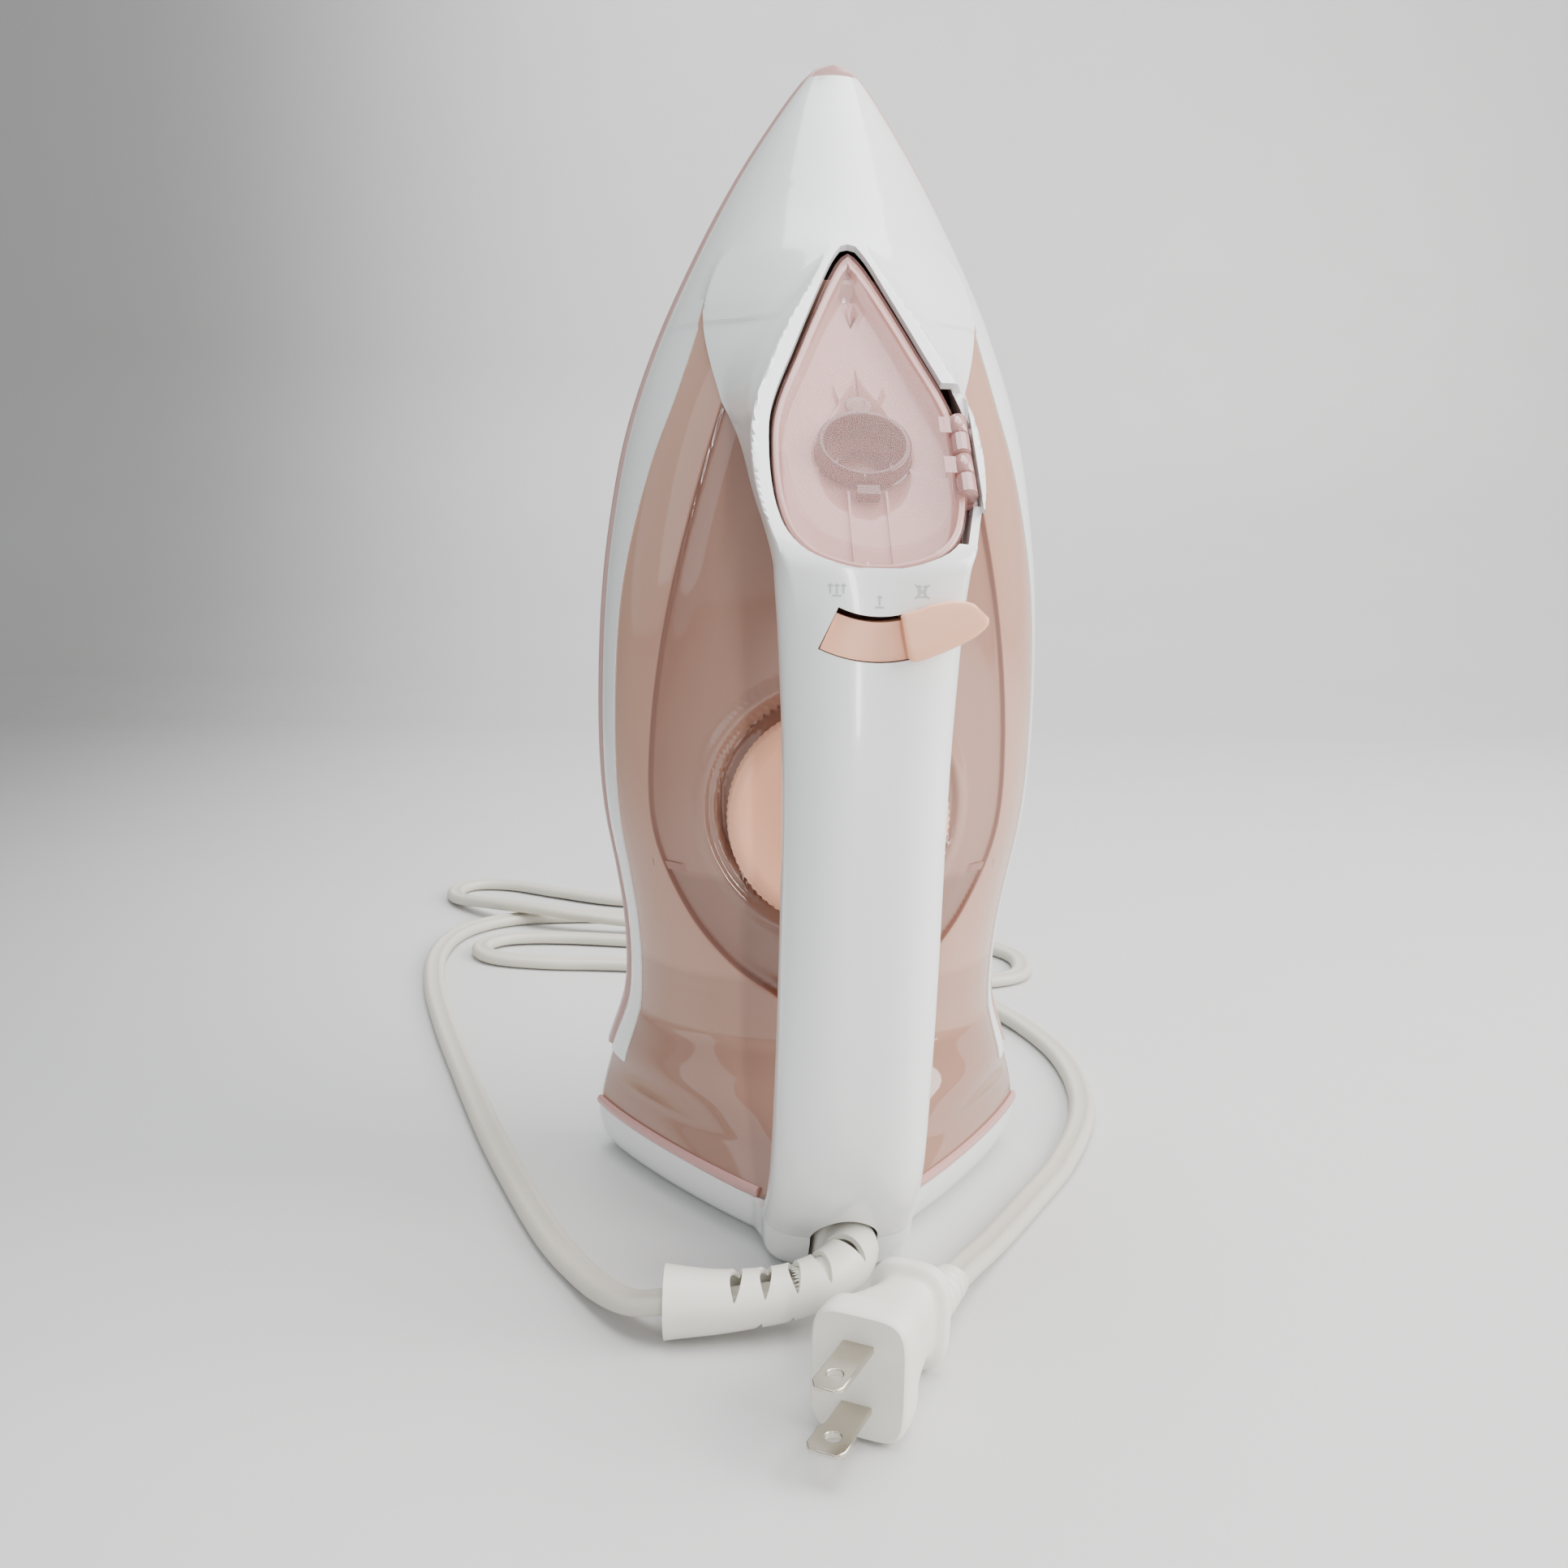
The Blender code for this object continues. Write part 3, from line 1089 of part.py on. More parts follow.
PLUG_SHAPE = (  # along the axis, width, height, height of the middle, roundness
    (0.0004, 0.0092, 0.0092, 0.0070, 1.0), (0.0080, 0.0104, 0.0106, 0.0082, 1.0), (0.0190, 0.0118, 0.0122, 0.0098, 1.0),
    (0.0230, 0.0124, 0.0150, 0.0106, 0.8), (0.0246, 0.0170, 0.0225, 0.0120, 0.6), (0.0285, 0.0176, 0.0232, 0.0124, 0.6),
    (0.0305, 0.0132, 0.0180, 0.0126, 0.7), (0.0370, 0.0146, 0.0196, 0.0131, 0.6), (0.0470, 0.0186, 0.0246, 0.0135, 0.5),
    (0.0530, 0.0204, 0.0264, 0.0136, 0.45), (0.0554, 0.0204, 0.0264, 0.0136, 0.45), (0.0562, 0.0196, 0.0256, 0.0136, 0.45),
)
PLUG_MIDDLE = PLUG_SHAPE[-1][3]
BLADE_APART = 0.0127


def plug(f):
    loft("plug_body", [plug_ring(*shape) for shape in PLUG_SHAPE], f["ivory"])
    for name, lift, flare in (("blade_upper", BLADE_APART / 2, 0.0), ("blade_lower", -BLADE_APART / 2, 0.0008)):
        root = PLUG_START + PLUG_AHEAD * (PLUG_SHAPE[-1][0] + GAP)
        shape = ((0, 0.00318), (0.0085, 0.00318), (0.0110, 0.00318 + flare), (0.0155, 0.00318 + flare),
                 (BLADE_LONG, 0.0018 + flare))
        rings = []
        for far, half in shape:
            c = Vector((root.x, root.y, PLUG_MIDDLE + lift)) + PLUG_AHEAD * far
            up = Vector((0, 0, 0.00075))
            rings.append([c - PLUG_SIDE * half - up, c + PLUG_SIDE * half - up,
                          c + PLUG_SIDE * half + up, c - PLUG_SIDE * half + up])
        blade = loft(name, rings, f["nickel"])
        hole = Vector((root.x, root.y, PLUG_MIDDLE + lift - 0.002)) + PLUG_AHEAD * 0.0122
        cut(blade, turned("hole", hole, (0, 0, 1), [(0, 0.0016), (0.004, 0.0016)], f["nickel"], 12))


# ---------------------------------------------------------------- wiring in the heel
BLOCK_Z = 0.0300
BLOCK_DEPTH = 0.0440


def wiring(f):
    block("terminal_block", at(-0.0110, BLOCK_DEPTH - 0.0080, BLOCK_Z - 0.0060), at(0.0110, BLOCK_DEPTH, BLOCK_Z + 0.0060),
          f["dark"])
    block("cord_clamp", at(-0.0090, 0.0640, 0.0030), at(0.0090, 0.0700, 0.0060), f["dark"])
    x = half_width(ELEMENT_LOW) - ELEMENT_INSET
    for side, name in ((1, "right"), (-1, "left")):
        turned(f"clamp_screw_{name}", at(side * 0.0070, 0.0670, 0.0063), (0, 0, 1),
               [(0, 0.0024), (0.0014, 0.0022)], f["steel"], 10)
        route = [at(side * 0.0028, OUTLET_IN - 0.0010, 0.0095), at(side * 0.0030, 0.0650, 0.0096),
                 at(side * 0.0042, 0.0570, 0.0160), at(side * 0.0055, BLOCK_DEPTH + 0.0015, BLOCK_Z)]
        tube(f"supply_lead_{name}", curve_through(route, 0.0030), 0.0011, f["cream"], 1)
        route = [at(side * 0.0125, BLOCK_DEPTH - 0.0040, BLOCK_Z), at(side * 0.0200, BLOCK_DEPTH - 0.0080, BLOCK_Z),
                 at(side * 0.0290, 0.0220, BLOCK_Z), at(side * (x - 0.0010), 0.0110, BLOCK_Z + 0.0015),
                 at(side * x, ELEMENT_DEPTH, ELEMENT_LOW - 0.0125)]
        tube(f"element_lead_{name}", curve_through(route, 0.0030), 0.0011, f["red"], 1)


def build():
    for obj in list(bpy.data.objects):
        bpy.data.objects.remove(obj)
    f = finishes()
    soleplate(f)
    sole_skirt(f)
    heater(f)
    heat_shield(f)
    upper_housing(f)
    water_tank(f)
    tank_base(f)
    handle_cover(f)
    handle_underside(f)
    heel_cover(f)
    cord_gland(f)
    filler(f)
    filler_lid(f)
    hinge(f)
    lever_parts(f)
    valve(f)
    dial(f)
    cord_guard(f)
    power_cord(f)
    plug(f)
    wiring(f)


build()
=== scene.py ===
import json
import math

import bmesh
import bpy
from mathutils import Matrix, Vector


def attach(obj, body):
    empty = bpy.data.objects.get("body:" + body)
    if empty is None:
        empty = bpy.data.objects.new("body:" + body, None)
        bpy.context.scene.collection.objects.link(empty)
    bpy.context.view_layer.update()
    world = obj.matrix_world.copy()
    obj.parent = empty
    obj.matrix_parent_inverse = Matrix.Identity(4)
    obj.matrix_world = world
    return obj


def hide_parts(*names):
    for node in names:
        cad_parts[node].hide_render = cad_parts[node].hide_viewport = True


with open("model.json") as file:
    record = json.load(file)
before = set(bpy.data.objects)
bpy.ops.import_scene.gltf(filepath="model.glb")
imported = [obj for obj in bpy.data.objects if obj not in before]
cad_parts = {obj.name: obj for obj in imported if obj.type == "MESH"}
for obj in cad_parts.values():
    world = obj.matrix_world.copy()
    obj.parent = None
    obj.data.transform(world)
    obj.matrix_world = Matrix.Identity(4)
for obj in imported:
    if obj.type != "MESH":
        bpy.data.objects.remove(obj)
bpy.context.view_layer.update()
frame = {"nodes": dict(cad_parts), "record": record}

scene = bpy.context.scene

# ---------------------------------------------------------------- camera
# A camera at arm's length in front of the handle side, a little left of it and above its middle, looking
# slightly down. It is held with a small tilt to the left.
camera_data = bpy.data.cameras.new("camera")
camera_data.sensor_width = 36.0
camera_data.lens = 36.1
camera_data.clip_start = 0.01
camera = bpy.data.objects.new("camera", camera_data)
scene.collection.objects.link(camera)
heading, drop = math.radians(4.8), math.radians(10.0)
ahead = Vector((math.sin(heading) * math.cos(drop), math.cos(heading) * math.cos(drop), -math.sin(drop)))
camera.matrix_world = (
    Matrix.Translation((-0.0441, -0.3696, 0.1780)) @ ahead.to_track_quat("-Z", "Y").to_matrix().to_4x4()
    @ Matrix.Rotation(math.radians(1.2), 4, "Z")
)
scene.camera = camera


# ---------------------------------------------------------------- floor and light
# A pale seamless sheet that runs back and curls up behind, lit by one large soft window on the right, a
# dimmer one above, and a narrow strip in front that draws the line of gloss down the handle.
def new_material(name, colour, roughness, metallic=0.0, coat=0.0):
    """A principled surface with its constants set on its own sockets."""
    m = bpy.data.materials.new(name)
    m.use_nodes = True
    m.diffuse_color = (*colour, 1)
    surface = m.node_tree.nodes["Principled BSDF"]
    surface.inputs["Base Color"].default_value = (*colour, 1)
    surface.inputs["Roughness"].default_value = roughness
    surface.inputs["Metallic"].default_value = metallic
    surface.inputs["Coat Weight"].default_value = coat
    return m


def grain_group():
    """A shared effect: a fine uneven grain and broad faint smears, as two values and a height."""
    g = bpy.data.node_groups.new("grain", "ShaderNodeTree")
    g.interface.new_socket("Size", in_out="INPUT", socket_type="NodeSocketFloat")
    g.interface.new_socket("Fine", in_out="OUTPUT", socket_type="NodeSocketFloat")
    g.interface.new_socket("Broad", in_out="OUTPUT", socket_type="NodeSocketFloat")
    inside, outside = g.nodes.new("NodeGroupInput"), g.nodes.new("NodeGroupOutput")
    where = g.nodes.new("ShaderNodeTexCoord")
    fine, broad = g.nodes.new("ShaderNodeTexNoise"), g.nodes.new("ShaderNodeTexNoise")
    fine.inputs["Detail"].default_value = 3
    broad.inputs["Scale"].default_value = 22
    broad.inputs["Detail"].default_value = 2
    g.links.new(where.outputs["Object"], fine.inputs["Vector"])
    g.links.new(where.outputs["Object"], broad.inputs["Vector"])
    g.links.new(inside.outputs["Size"], fine.inputs["Scale"])
    g.links.new(fine.outputs["Fac"], outside.inputs["Fine"])
    g.links.new(broad.outputs["Fac"], outside.inputs["Broad"])
    return g


GRAIN = grain_group()


def worn(m, size=2600.0, bump=0.04, spread=0.08, tint=0.03):
    """Adds the grain to a material: roughness that varies, a faint change of tone and a fine relief."""
    tree = m.node_tree
    surface = tree.nodes["Principled BSDF"]
    grain = tree.nodes.new("ShaderNodeGroup")
    grain.node_tree = GRAIN
    grain.inputs["Size"].default_value = size
    rough = surface.inputs["Roughness"].default_value
    vary = tree.nodes.new("ShaderNodeMapRange")
    vary.inputs["To Min"].default_value = max(rough - spread, 0.02)
    vary.inputs["To Max"].default_value = rough + spread
    tree.links.new(grain.outputs["Broad"], vary.inputs["Value"])
    tree.links.new(vary.outputs["Result"], surface.inputs["Roughness"])
    mix = tree.nodes.new("ShaderNodeMix")
    mix.data_type = "RGBA"
    mix.blend_type = "MULTIPLY"
    mix.inputs["B"].default_value = (1 - tint * 2, 1 - tint * 2.2, 1 - tint * 2.6, 1)
    if surface.inputs["Base Color"].links:
        tree.links.new(surface.inputs["Base Color"].links[0].from_socket, mix.inputs["A"])
    else:
        mix.inputs["A"].default_value = surface.inputs["Base Color"].default_value
    tree.links.new(grain.outputs["Broad"], mix.inputs["Factor"])
    tree.links.new(mix.outputs["Result"], surface.inputs["Base Color"])
    relief = tree.nodes.new("ShaderNodeBump")
    relief.inputs["Strength"].default_value = bump
    relief.inputs["Distance"].default_value = 0.0002
    tree.links.new(grain.outputs["Fine"], relief.inputs["Height"])
    tree.links.new(relief.outputs["Normal"], surface.inputs["Normal"])
    return m


sheet_rows = [(-1.6, 0.0), (0.9, 0.0), (1.05, 0.02), (1.17, 0.08), (1.26, 0.18), (1.30, 0.32), (1.31, 2.4)]
sheet = bpy.data.meshes.new("floor")
sheet.from_pydata([(x, y, z) for y, z in sheet_rows for x in (-2.4, 2.4)],
                  [], [(2 * i, 2 * i + 1, 2 * i + 3, 2 * i + 2) for i in range(len(sheet_rows) - 1)])
floor = bpy.data.objects.new("floor", sheet)
scene.collection.objects.link(floor)
sheet.shade_smooth()
grey = new_material("grey_sheet", (0.62, 0.62, 0.615), 0.42)
# Painted shade: the sheet's colour runs from dark grey at x -0.62 up to its pale grey at x 0.02, a shadow painted
# over its left side.
across = grey.node_tree.nodes.new("ShaderNodeTexCoord")
split = grey.node_tree.nodes.new("ShaderNodeSeparateXYZ")
fade = grey.node_tree.nodes.new("ShaderNodeMapRange")
painted_left_shade = grey.node_tree.nodes.new("ShaderNodeMix")
fade.interpolation_type = "SMOOTHERSTEP"
fade.inputs["From Min"].default_value, fade.inputs["From Max"].default_value = -0.62, 0.02
painted_left_shade.data_type = "RGBA"
painted_left_shade.inputs["A"].default_value = (0.235, 0.235, 0.230, 1)
painted_left_shade.inputs["B"].default_value = (0.64, 0.64, 0.635, 1)
grey.node_tree.links.new(across.outputs["Object"], split.inputs["Vector"])
grey.node_tree.links.new(split.outputs["X"], fade.inputs["Value"])
grey.node_tree.links.new(fade.outputs["Result"], painted_left_shade.inputs["Factor"])
grey.node_tree.links.new(painted_left_shade.outputs["Result"], grey.node_tree.nodes["Principled BSDF"].inputs["Base Color"])
sheet.materials.append(worn(grey, 900, 0.05, 0.06, 0.02))

world = bpy.data.worlds.new("room")
world.use_nodes = True
world.node_tree.nodes["Background"].inputs["Color"].default_value = (0.80, 0.82, 0.86, 1)
world.node_tree.nodes["Background"].inputs["Strength"].default_value = 0.72
scene.world = world


def lamp(name, place, aim, wide, tall, power, colour=(1, 1, 1)):
    """A soft rectangular light that faces a point."""
    data = bpy.data.lights.new(name, "AREA")
    data.shape = "RECTANGLE"
    data.size, data.size_y, data.energy, data.color = wide, tall, power, colour
    obj = bpy.data.objects.new(name, data)
    scene.collection.objects.link(obj)
    turned = (Vector(aim) - Vector(place)).to_track_quat("-Z", "Y")
    obj.matrix_world = Matrix.Translation(place) @ turned.to_matrix().to_4x4()


lamp("window_right", (1.15, -0.35, 0.85), (0.0, 0.05, 0.10), 1.1, 1.0, 38.0, (1.0, 0.99, 0.97))
lamp("ceiling", (0.10, 0.15, 1.35), (0.0, 0.05, 0.10), 1.2, 1.0, 25.0, (0.98, 0.99, 1.0))
lamp("strip_front", (0.055, -0.95, 0.26), (0.0, -0.06, 0.13), 0.035, 0.75, 3.4)
lamp("window_left", (-1.25, -0.25, 0.55), (0.0, 0.05, 0.10), 0.7, 0.8, 1.6, (0.94, 0.97, 1.0))


# ---------------------------------------------------------------- cord
# Two-core flat flex in cream sheath with a groove between the cores. It leaves the guard to the left, goes
# round behind the iron in loose loops that cross, and comes back on the right to the plug.
def curve_through(points, step):
    """Evenly spaced places on one smooth curve through the points."""
    points = [Vector(p) for p in points]
    ends = [points[0] * 2 - points[1], *points, points[-1] * 2 - points[-2]]
    fine = []
    for a, b, c, d in zip(ends, ends[1:], ends[2:], ends[3:]):
        for t in [i / 16 for i in range(16)]:
            square, cube = 2 * a - 5 * b + 4 * c - d, 3 * b - a - 3 * c + d
            fine.append(0.5 * (2 * b + (c - a) * t + square * t**2 + cube * t**3))
    fine.append(points[-1])
    far = [0.0]
    for a, b in zip(fine, fine[1:]):
        far.append(far[-1] + (b - a).length)
    count = max(2, round(far[-1] / step))
    places, k = [], 0
    for i in range(count + 1):
        want = far[-1] * i / count
        while k < len(far) - 2 and far[k + 1] < want:
            k += 1
        places.append(fine[k].lerp(fine[k + 1], (want - far[k]) / max(far[k + 1] - far[k], 1e-9)))
    return places


def frames(points):
    """A place, a side and an up direction at each point of a path."""
    made = []
    for i, p in enumerate(points):
        on = (points[min(i + 1, len(points) - 1)] - points[max(i - 1, 0)]).normalized()
        side = on.cross(Vector((0, 0, 1))).normalized()
        made.append((p, side, side.cross(on).normalized()))
    return made


def skin(name, rows, material, body, loop=True, ends=True, angle=35, close_rows=False):
    """A piece with faces between rows of points; loop joins each row's last point to its first."""
    bm = bmesh.new()
    made = [[bm.verts.new(p) for p in row] for row in rows]
    pairs = list(zip(made, made[1:])) + ([(made[-1], made[0])] if close_rows else [])
    count = len(made[0])
    for a, b in pairs:
        for i in range(count if loop else count - 1):
            j = (i + 1) % count
            bm.faces.new((a[i], a[j], b[j], b[i]))
    if ends and loop and not close_rows:
        bm.faces.new(made[0])
        bm.faces.new(made[-1])
    return piece(name, bm, material, body, angle)


def piece(name, bm, material, body, angle=35):
    """An object from a bmesh, its faces outwards, its hard edges sharp, riding on a body."""
    bmesh.ops.remove_doubles(bm, verts=bm.verts, dist=0.0000015)
    bmesh.ops.recalc_face_normals(bm, faces=bm.faces)
    mesh = bpy.data.meshes.new(name)
    bm.to_mesh(mesh)
    bm.free()
    if material:
        mesh.materials.append(material)
    mesh.shade_smooth()
    mesh.set_sharp_from_angle(angle=math.radians(angle))
    obj = bpy.data.objects.new(name, mesh)
    scene.collection.objects.link(obj)
    if body:
        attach(obj, body)
    return obj


SOLE_Y = 0.064


def at(x, depth, z):
    """A place from its distance across, its depth above the sole's face and its height."""
    return Vector((x, SOLE_Y - depth, z))


GUARD_LINE = [at(*p) for p in (
    (0.0010, 0.1018, 0.0128), (0.0009, 0.1050, 0.0128), (-0.0016, 0.1102, 0.0122), (-0.0072, 0.1145, 0.0108),
    (-0.0140, 0.1168, 0.0096), (-0.0220, 0.1179, 0.0089), (-0.0310, 0.1184, 0.0085), (-0.0410, 0.1176, 0.0083))]
CORD_LINE = (  # across, along Y, height of the flat cord's middle
    (-0.0480, -0.0498, 0.0062), (-0.0545, -0.0400, 0.0040), (-0.0605, -0.0280, 0.0027), (-0.0675, -0.0130, 0.0023),
    (-0.0760, 0.0110, 0.0023), (-0.0885, 0.0510, 0.0023), (-0.1025, 0.1030, 0.0023), (-0.1145, 0.1500, 0.0023),
    (-0.1240, 0.1950, 0.0023), (-0.1280, 0.2350, 0.0023), (-0.1220, 0.2680, 0.0023), (-0.1010, 0.2880, 0.0023),
    (-0.0600, 0.2920, 0.0023), (-0.0100, 0.2850, 0.0023), (0.0400, 0.2740, 0.0023), (0.0780, 0.2570, 0.0023),
    (0.0980, 0.2350, 0.0023), (0.1000, 0.2160, 0.0023), (0.0920, 0.2010, 0.0023), (0.0680, 0.1950, 0.0023),
    (0.0300, 0.2000, 0.0023), (-0.0150, 0.2120, 0.0023), (-0.0560, 0.2200, 0.0023), (-0.0860, 0.2230, 0.0023),
    (-0.1060, 0.2300, 0.0023), (-0.1120, 0.2440, 0.0023), (-0.1030, 0.2560, 0.0023), (-0.0800, 0.2580, 0.0023),
    (-0.0400, 0.2510, 0.0023), (0.0020, 0.2440, 0.0023), (0.0380, 0.2480, 0.0038), (0.0580, 0.2670, 0.0076),
    (0.0560, 0.2930, 0.0038), (0.0280, 0.3090, 0.0023), (-0.0150, 0.3130, 0.0023), (-0.0580, 0.3190, 0.0023),
    (-0.0860, 0.3340, 0.0023), (-0.1080, 0.3480, 0.0023), (-0.1250, 0.3500, 0.0023), (-0.1330, 0.3400, 0.0023),
    (-0.1300, 0.3210, 0.0030), (-0.1130, 0.3000, 0.0060), (-0.0940, 0.2850, 0.0076), (-0.0660, 0.2740, 0.0062),
    (-0.0250, 0.2680, 0.0034), (0.0080, 0.2590, 0.0056), (0.0300, 0.2410, 0.0076), (0.0480, 0.2190, 0.0062),
    (0.0620, 0.1960, 0.0076), (0.0740, 0.1690, 0.0038), (0.0840, 0.1450, 0.0023), (0.0890, 0.1170, 0.0023),
    (0.0880, 0.0880, 0.0023), (0.0820, 0.0610, 0.0023), (0.0690, 0.0310, 0.0023), (0.0530, 0.0050, 0.0023),
    (0.0390, -0.0170, 0.0027), (0.0290, -0.0330, 0.0044), (0.0215, -0.0466, 0.0066),
)
cord_path = curve_through([*GUARD_LINE[1:], *CORD_LINE], 0.0022)
flex = []
for a in range(-118, 119, 17):
    c, s = math.cos(math.radians(a)), math.sin(math.radians(a))
    flex.append((0.00185 + 0.00195 * c, 0.0021 * s))
flex = flex + [(0.0, 0.00150)] + [(-x, z) for x, z in reversed(flex)] + [(0.0, -0.00150)]
cord_rows = []
STRAIGHT_ENDS = 40  # rows at either end in which the flat cord has no twist
for i, (p, side, up) in enumerate(frames(cord_path)):
    twisted = STRAIGHT_ENDS < i < len(cord_path) - STRAIGHT_ENDS
    twist = math.radians(7.0) * math.sin(i * 0.021) if twisted else 0.0
    lift = 0.0034 * abs(math.sin(twist))
    across, over = side * math.cos(twist) + up * math.sin(twist), up * math.cos(twist) - side * math.sin(twist)
    cord_rows.append([p + Vector((0, 0, lift)) + across * x + over * z for x, z in flex])
cream = worn(new_material("cream_sheath", (0.62, 0.585, 0.50), 0.46), 3200, 0.10, 0.06, 0.05)
cord = skin("power_cord_flat", cord_rows, cream, "housing", angle=60)
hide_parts("power_cord")

# ---------------------------------------------------------------- cord guard
# The soft moulded sleeve that keeps the cord from kinking: ivory rubber, moulded round its root and flared
# to an open mouth, with crescent slots cut from alternate sides so that it can bend.
guard_path = curve_through(GUARD_LINE, 0.0011)
guard_frames = frames(guard_path)


def guard_radius(share):
    return 0.0056 + 0.0006 * (1 - share) ** 2 + 0.0024 * share**3


def turns(count):
    """Evenly spaced directions once round."""
    return [2 * math.pi * k / count for k in range(count)]


def hoop(frame_at, radius):
    p, side, up = frame_at
    return [p + side * radius * math.cos(a) + up * radius * math.sin(a) for a in turns(56)]


last = len(guard_frames) - 1
outer = [hoop(f, guard_radius(i / last)) for i, f in enumerate(guard_frames)]
inner = [hoop(f, guard_radius(i / last) - 0.0013 + 0.0006 * max(i / last - 0.93, 0) * 14)
         for i, f in enumerate(guard_frames)]
ivory = worn(new_material("ivory_rubber", (0.80, 0.775, 0.70), 0.42), 2400, 0.12, 0.07, 0.03)
guard = skin("cord_guard_slotted", outer + inner[::-1], ivory, "housing", close_rows=True)


def settled(obj):
    """Makes a piece's modifiers part of its mesh."""
    bpy.context.view_layer.update()
    done = bpy.data.meshes.new_from_object(obj.evaluated_get(bpy.context.evaluated_depsgraph_get()))
    obj.modifiers.clear()
    obj.data = done


def cut_out(obj, cutters, folded=False):
    """Cuts the cutters out of a piece. A folded wall needs the slower, tolerant way."""
    for cutter in cutters:
        modifier = obj.modifiers.new("cut", "BOOLEAN")
        modifier.operation = "DIFFERENCE"
        modifier.solver = "EXACT"
        modifier.use_self = modifier.use_hole_tolerant = folded
        modifier.object = cutter
        settled(obj)
        bpy.data.objects.remove(cutter)
    obj.data.shade_smooth()
    obj.data.set_sharp_from_angle(angle=math.radians(32))
    return obj


slots = []
for k in range(9):
    i = round(last * (0.16 + 0.068 * k))
    p, side, up = guard_frames[i]
    on = up.cross(side).normalized()
    middle = 95 if k % 2 == 0 else -85
    slot_rows = []
    for step in range(13):
        share = step / 12 * 2 - 1
        a = math.radians(middle + 62 * share)
        out = side * math.cos(a) + up * math.sin(a)
        half = 0.00012 + 0.00115 * (1 - share * share)
        lean = on * (0.0012 * share)
        slot_rows.append([p + out * 0.0047 + lean - on * half, p + out * 0.0100 + lean - on * half * 1.25,
                          p + out * 0.0100 + lean + on * half * 1.25, p + out * 0.0047 + lean + on * half])
    slots.append(skin("slot", slot_rows, None, None))
cut_out(guard, slots)
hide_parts("cord_guard")

# ---------------------------------------------------------------- plug
# A two-pin plug moulded on the cord in the same ivory rubber: a ribbed sleeve, two finger ears, a waisted body
# and a thick rounded face. The pins are stamped from brass strip and nickel plated, with the usual holes.
PLUG_START = Vector((0.0225, -0.0448, 0.0066))
PLUG_ON = Vector((-0.479, -0.878, 0.0)).normalized()
PLUG_SIDE = Vector((0.878, -0.479, 0.0)).normalized()


def smooth(table, x, column=1):
    """A smooth curve through the table's points, level beyond its ends."""
    if x <= table[0][0]:
        return table[0][column]
    if x >= table[-1][0]:
        return table[-1][column]
    i = max(k for k in range(len(table) - 1) if table[k][0] <= x)
    (x0, y0), (x1, y1) = (table[i][0], table[i][column]), (table[i + 1][0], table[i + 1][column])
    before = table[i - 1] if i else table[0]
    after = table[i + 2] if i + 2 < len(table) else table[-1]
    span, t = x1 - x0, (x - x0) / (x1 - x0)
    slope0, slope1 = (y1 - before[column]) / (x1 - before[0]), (after[column] - y0) / (after[0] - x0)
    return (y0 * (2 * t**3 - 3 * t**2 + 1) + slope0 * span * (t**3 - 2 * t**2 + t)
            + y1 * (3 * t**2 - 2 * t**3) + slope1 * span * (t**3 - t**2))


PLUG_SHAPE = (  # along, width, height, height of the middle, roundness
    (-0.0010, 0.0090, 0.0078, 0.0068, 0.9), (0.0080, 0.0104, 0.0100, 0.0080, 0.9),
    (0.0190, 0.0118, 0.0122, 0.0098, 0.9), (0.0232, 0.0122, 0.0146, 0.0106, 0.8),
    (0.0244, 0.0166, 0.0220, 0.0120, 0.6), (0.0262, 0.0174, 0.0232, 0.0122, 0.6),
    (0.0280, 0.0172, 0.0228, 0.0124, 0.6), (0.0300, 0.0134, 0.0184, 0.0126, 0.65),
    (0.0370, 0.0146, 0.0196, 0.0131, 0.6), (0.0470, 0.0182, 0.0240, 0.0135, 0.5),
    (0.0490, 0.0200, 0.0258, 0.0136, 0.45), (0.0545, 0.0203, 0.0262, 0.0136, 0.42),
    (0.0556, 0.0200, 0.0259, 0.0136, 0.42), (0.0562, 0.0190, 0.0250, 0.0136, 0.42),
)
SLEEVE_END, RIB_PITCH, RIB_DEEP = 0.0215, 0.0043, 0.0013
plug_rows = []
for i in range(96):
    far = -0.0010 + 0.0572 * i / 95
    wide, tall, middle, corner = (smooth(PLUG_SHAPE, far, c) for c in (1, 2, 3, 4))
    rib = max(0.0, math.sin(2 * math.pi * (far + 0.0004) / RIB_PITCH)) ** 2
    dip = RIB_DEEP * rib if far < SLEEVE_END else 0.0
    centre = PLUG_START + PLUG_ON * far
    row = []
    for a in turns(64):
        c, s = math.cos(a), math.sin(a)
        keep = abs(s) ** 6
        w, t = wide / 2 - dip * (1 - keep), tall / 2 - dip * (1 - keep)
        x, z = math.copysign(abs(c) ** corner, c) * w, math.copysign(abs(s) ** corner, s) * t
        row.append(Vector((centre.x, centre.y, max(middle + z, 0.0003))) + PLUG_SIDE * x)
    plug_rows.append(row)
plug = skin("plug_moulded", plug_rows, ivory, "housing", angle=42)
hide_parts("plug_body")

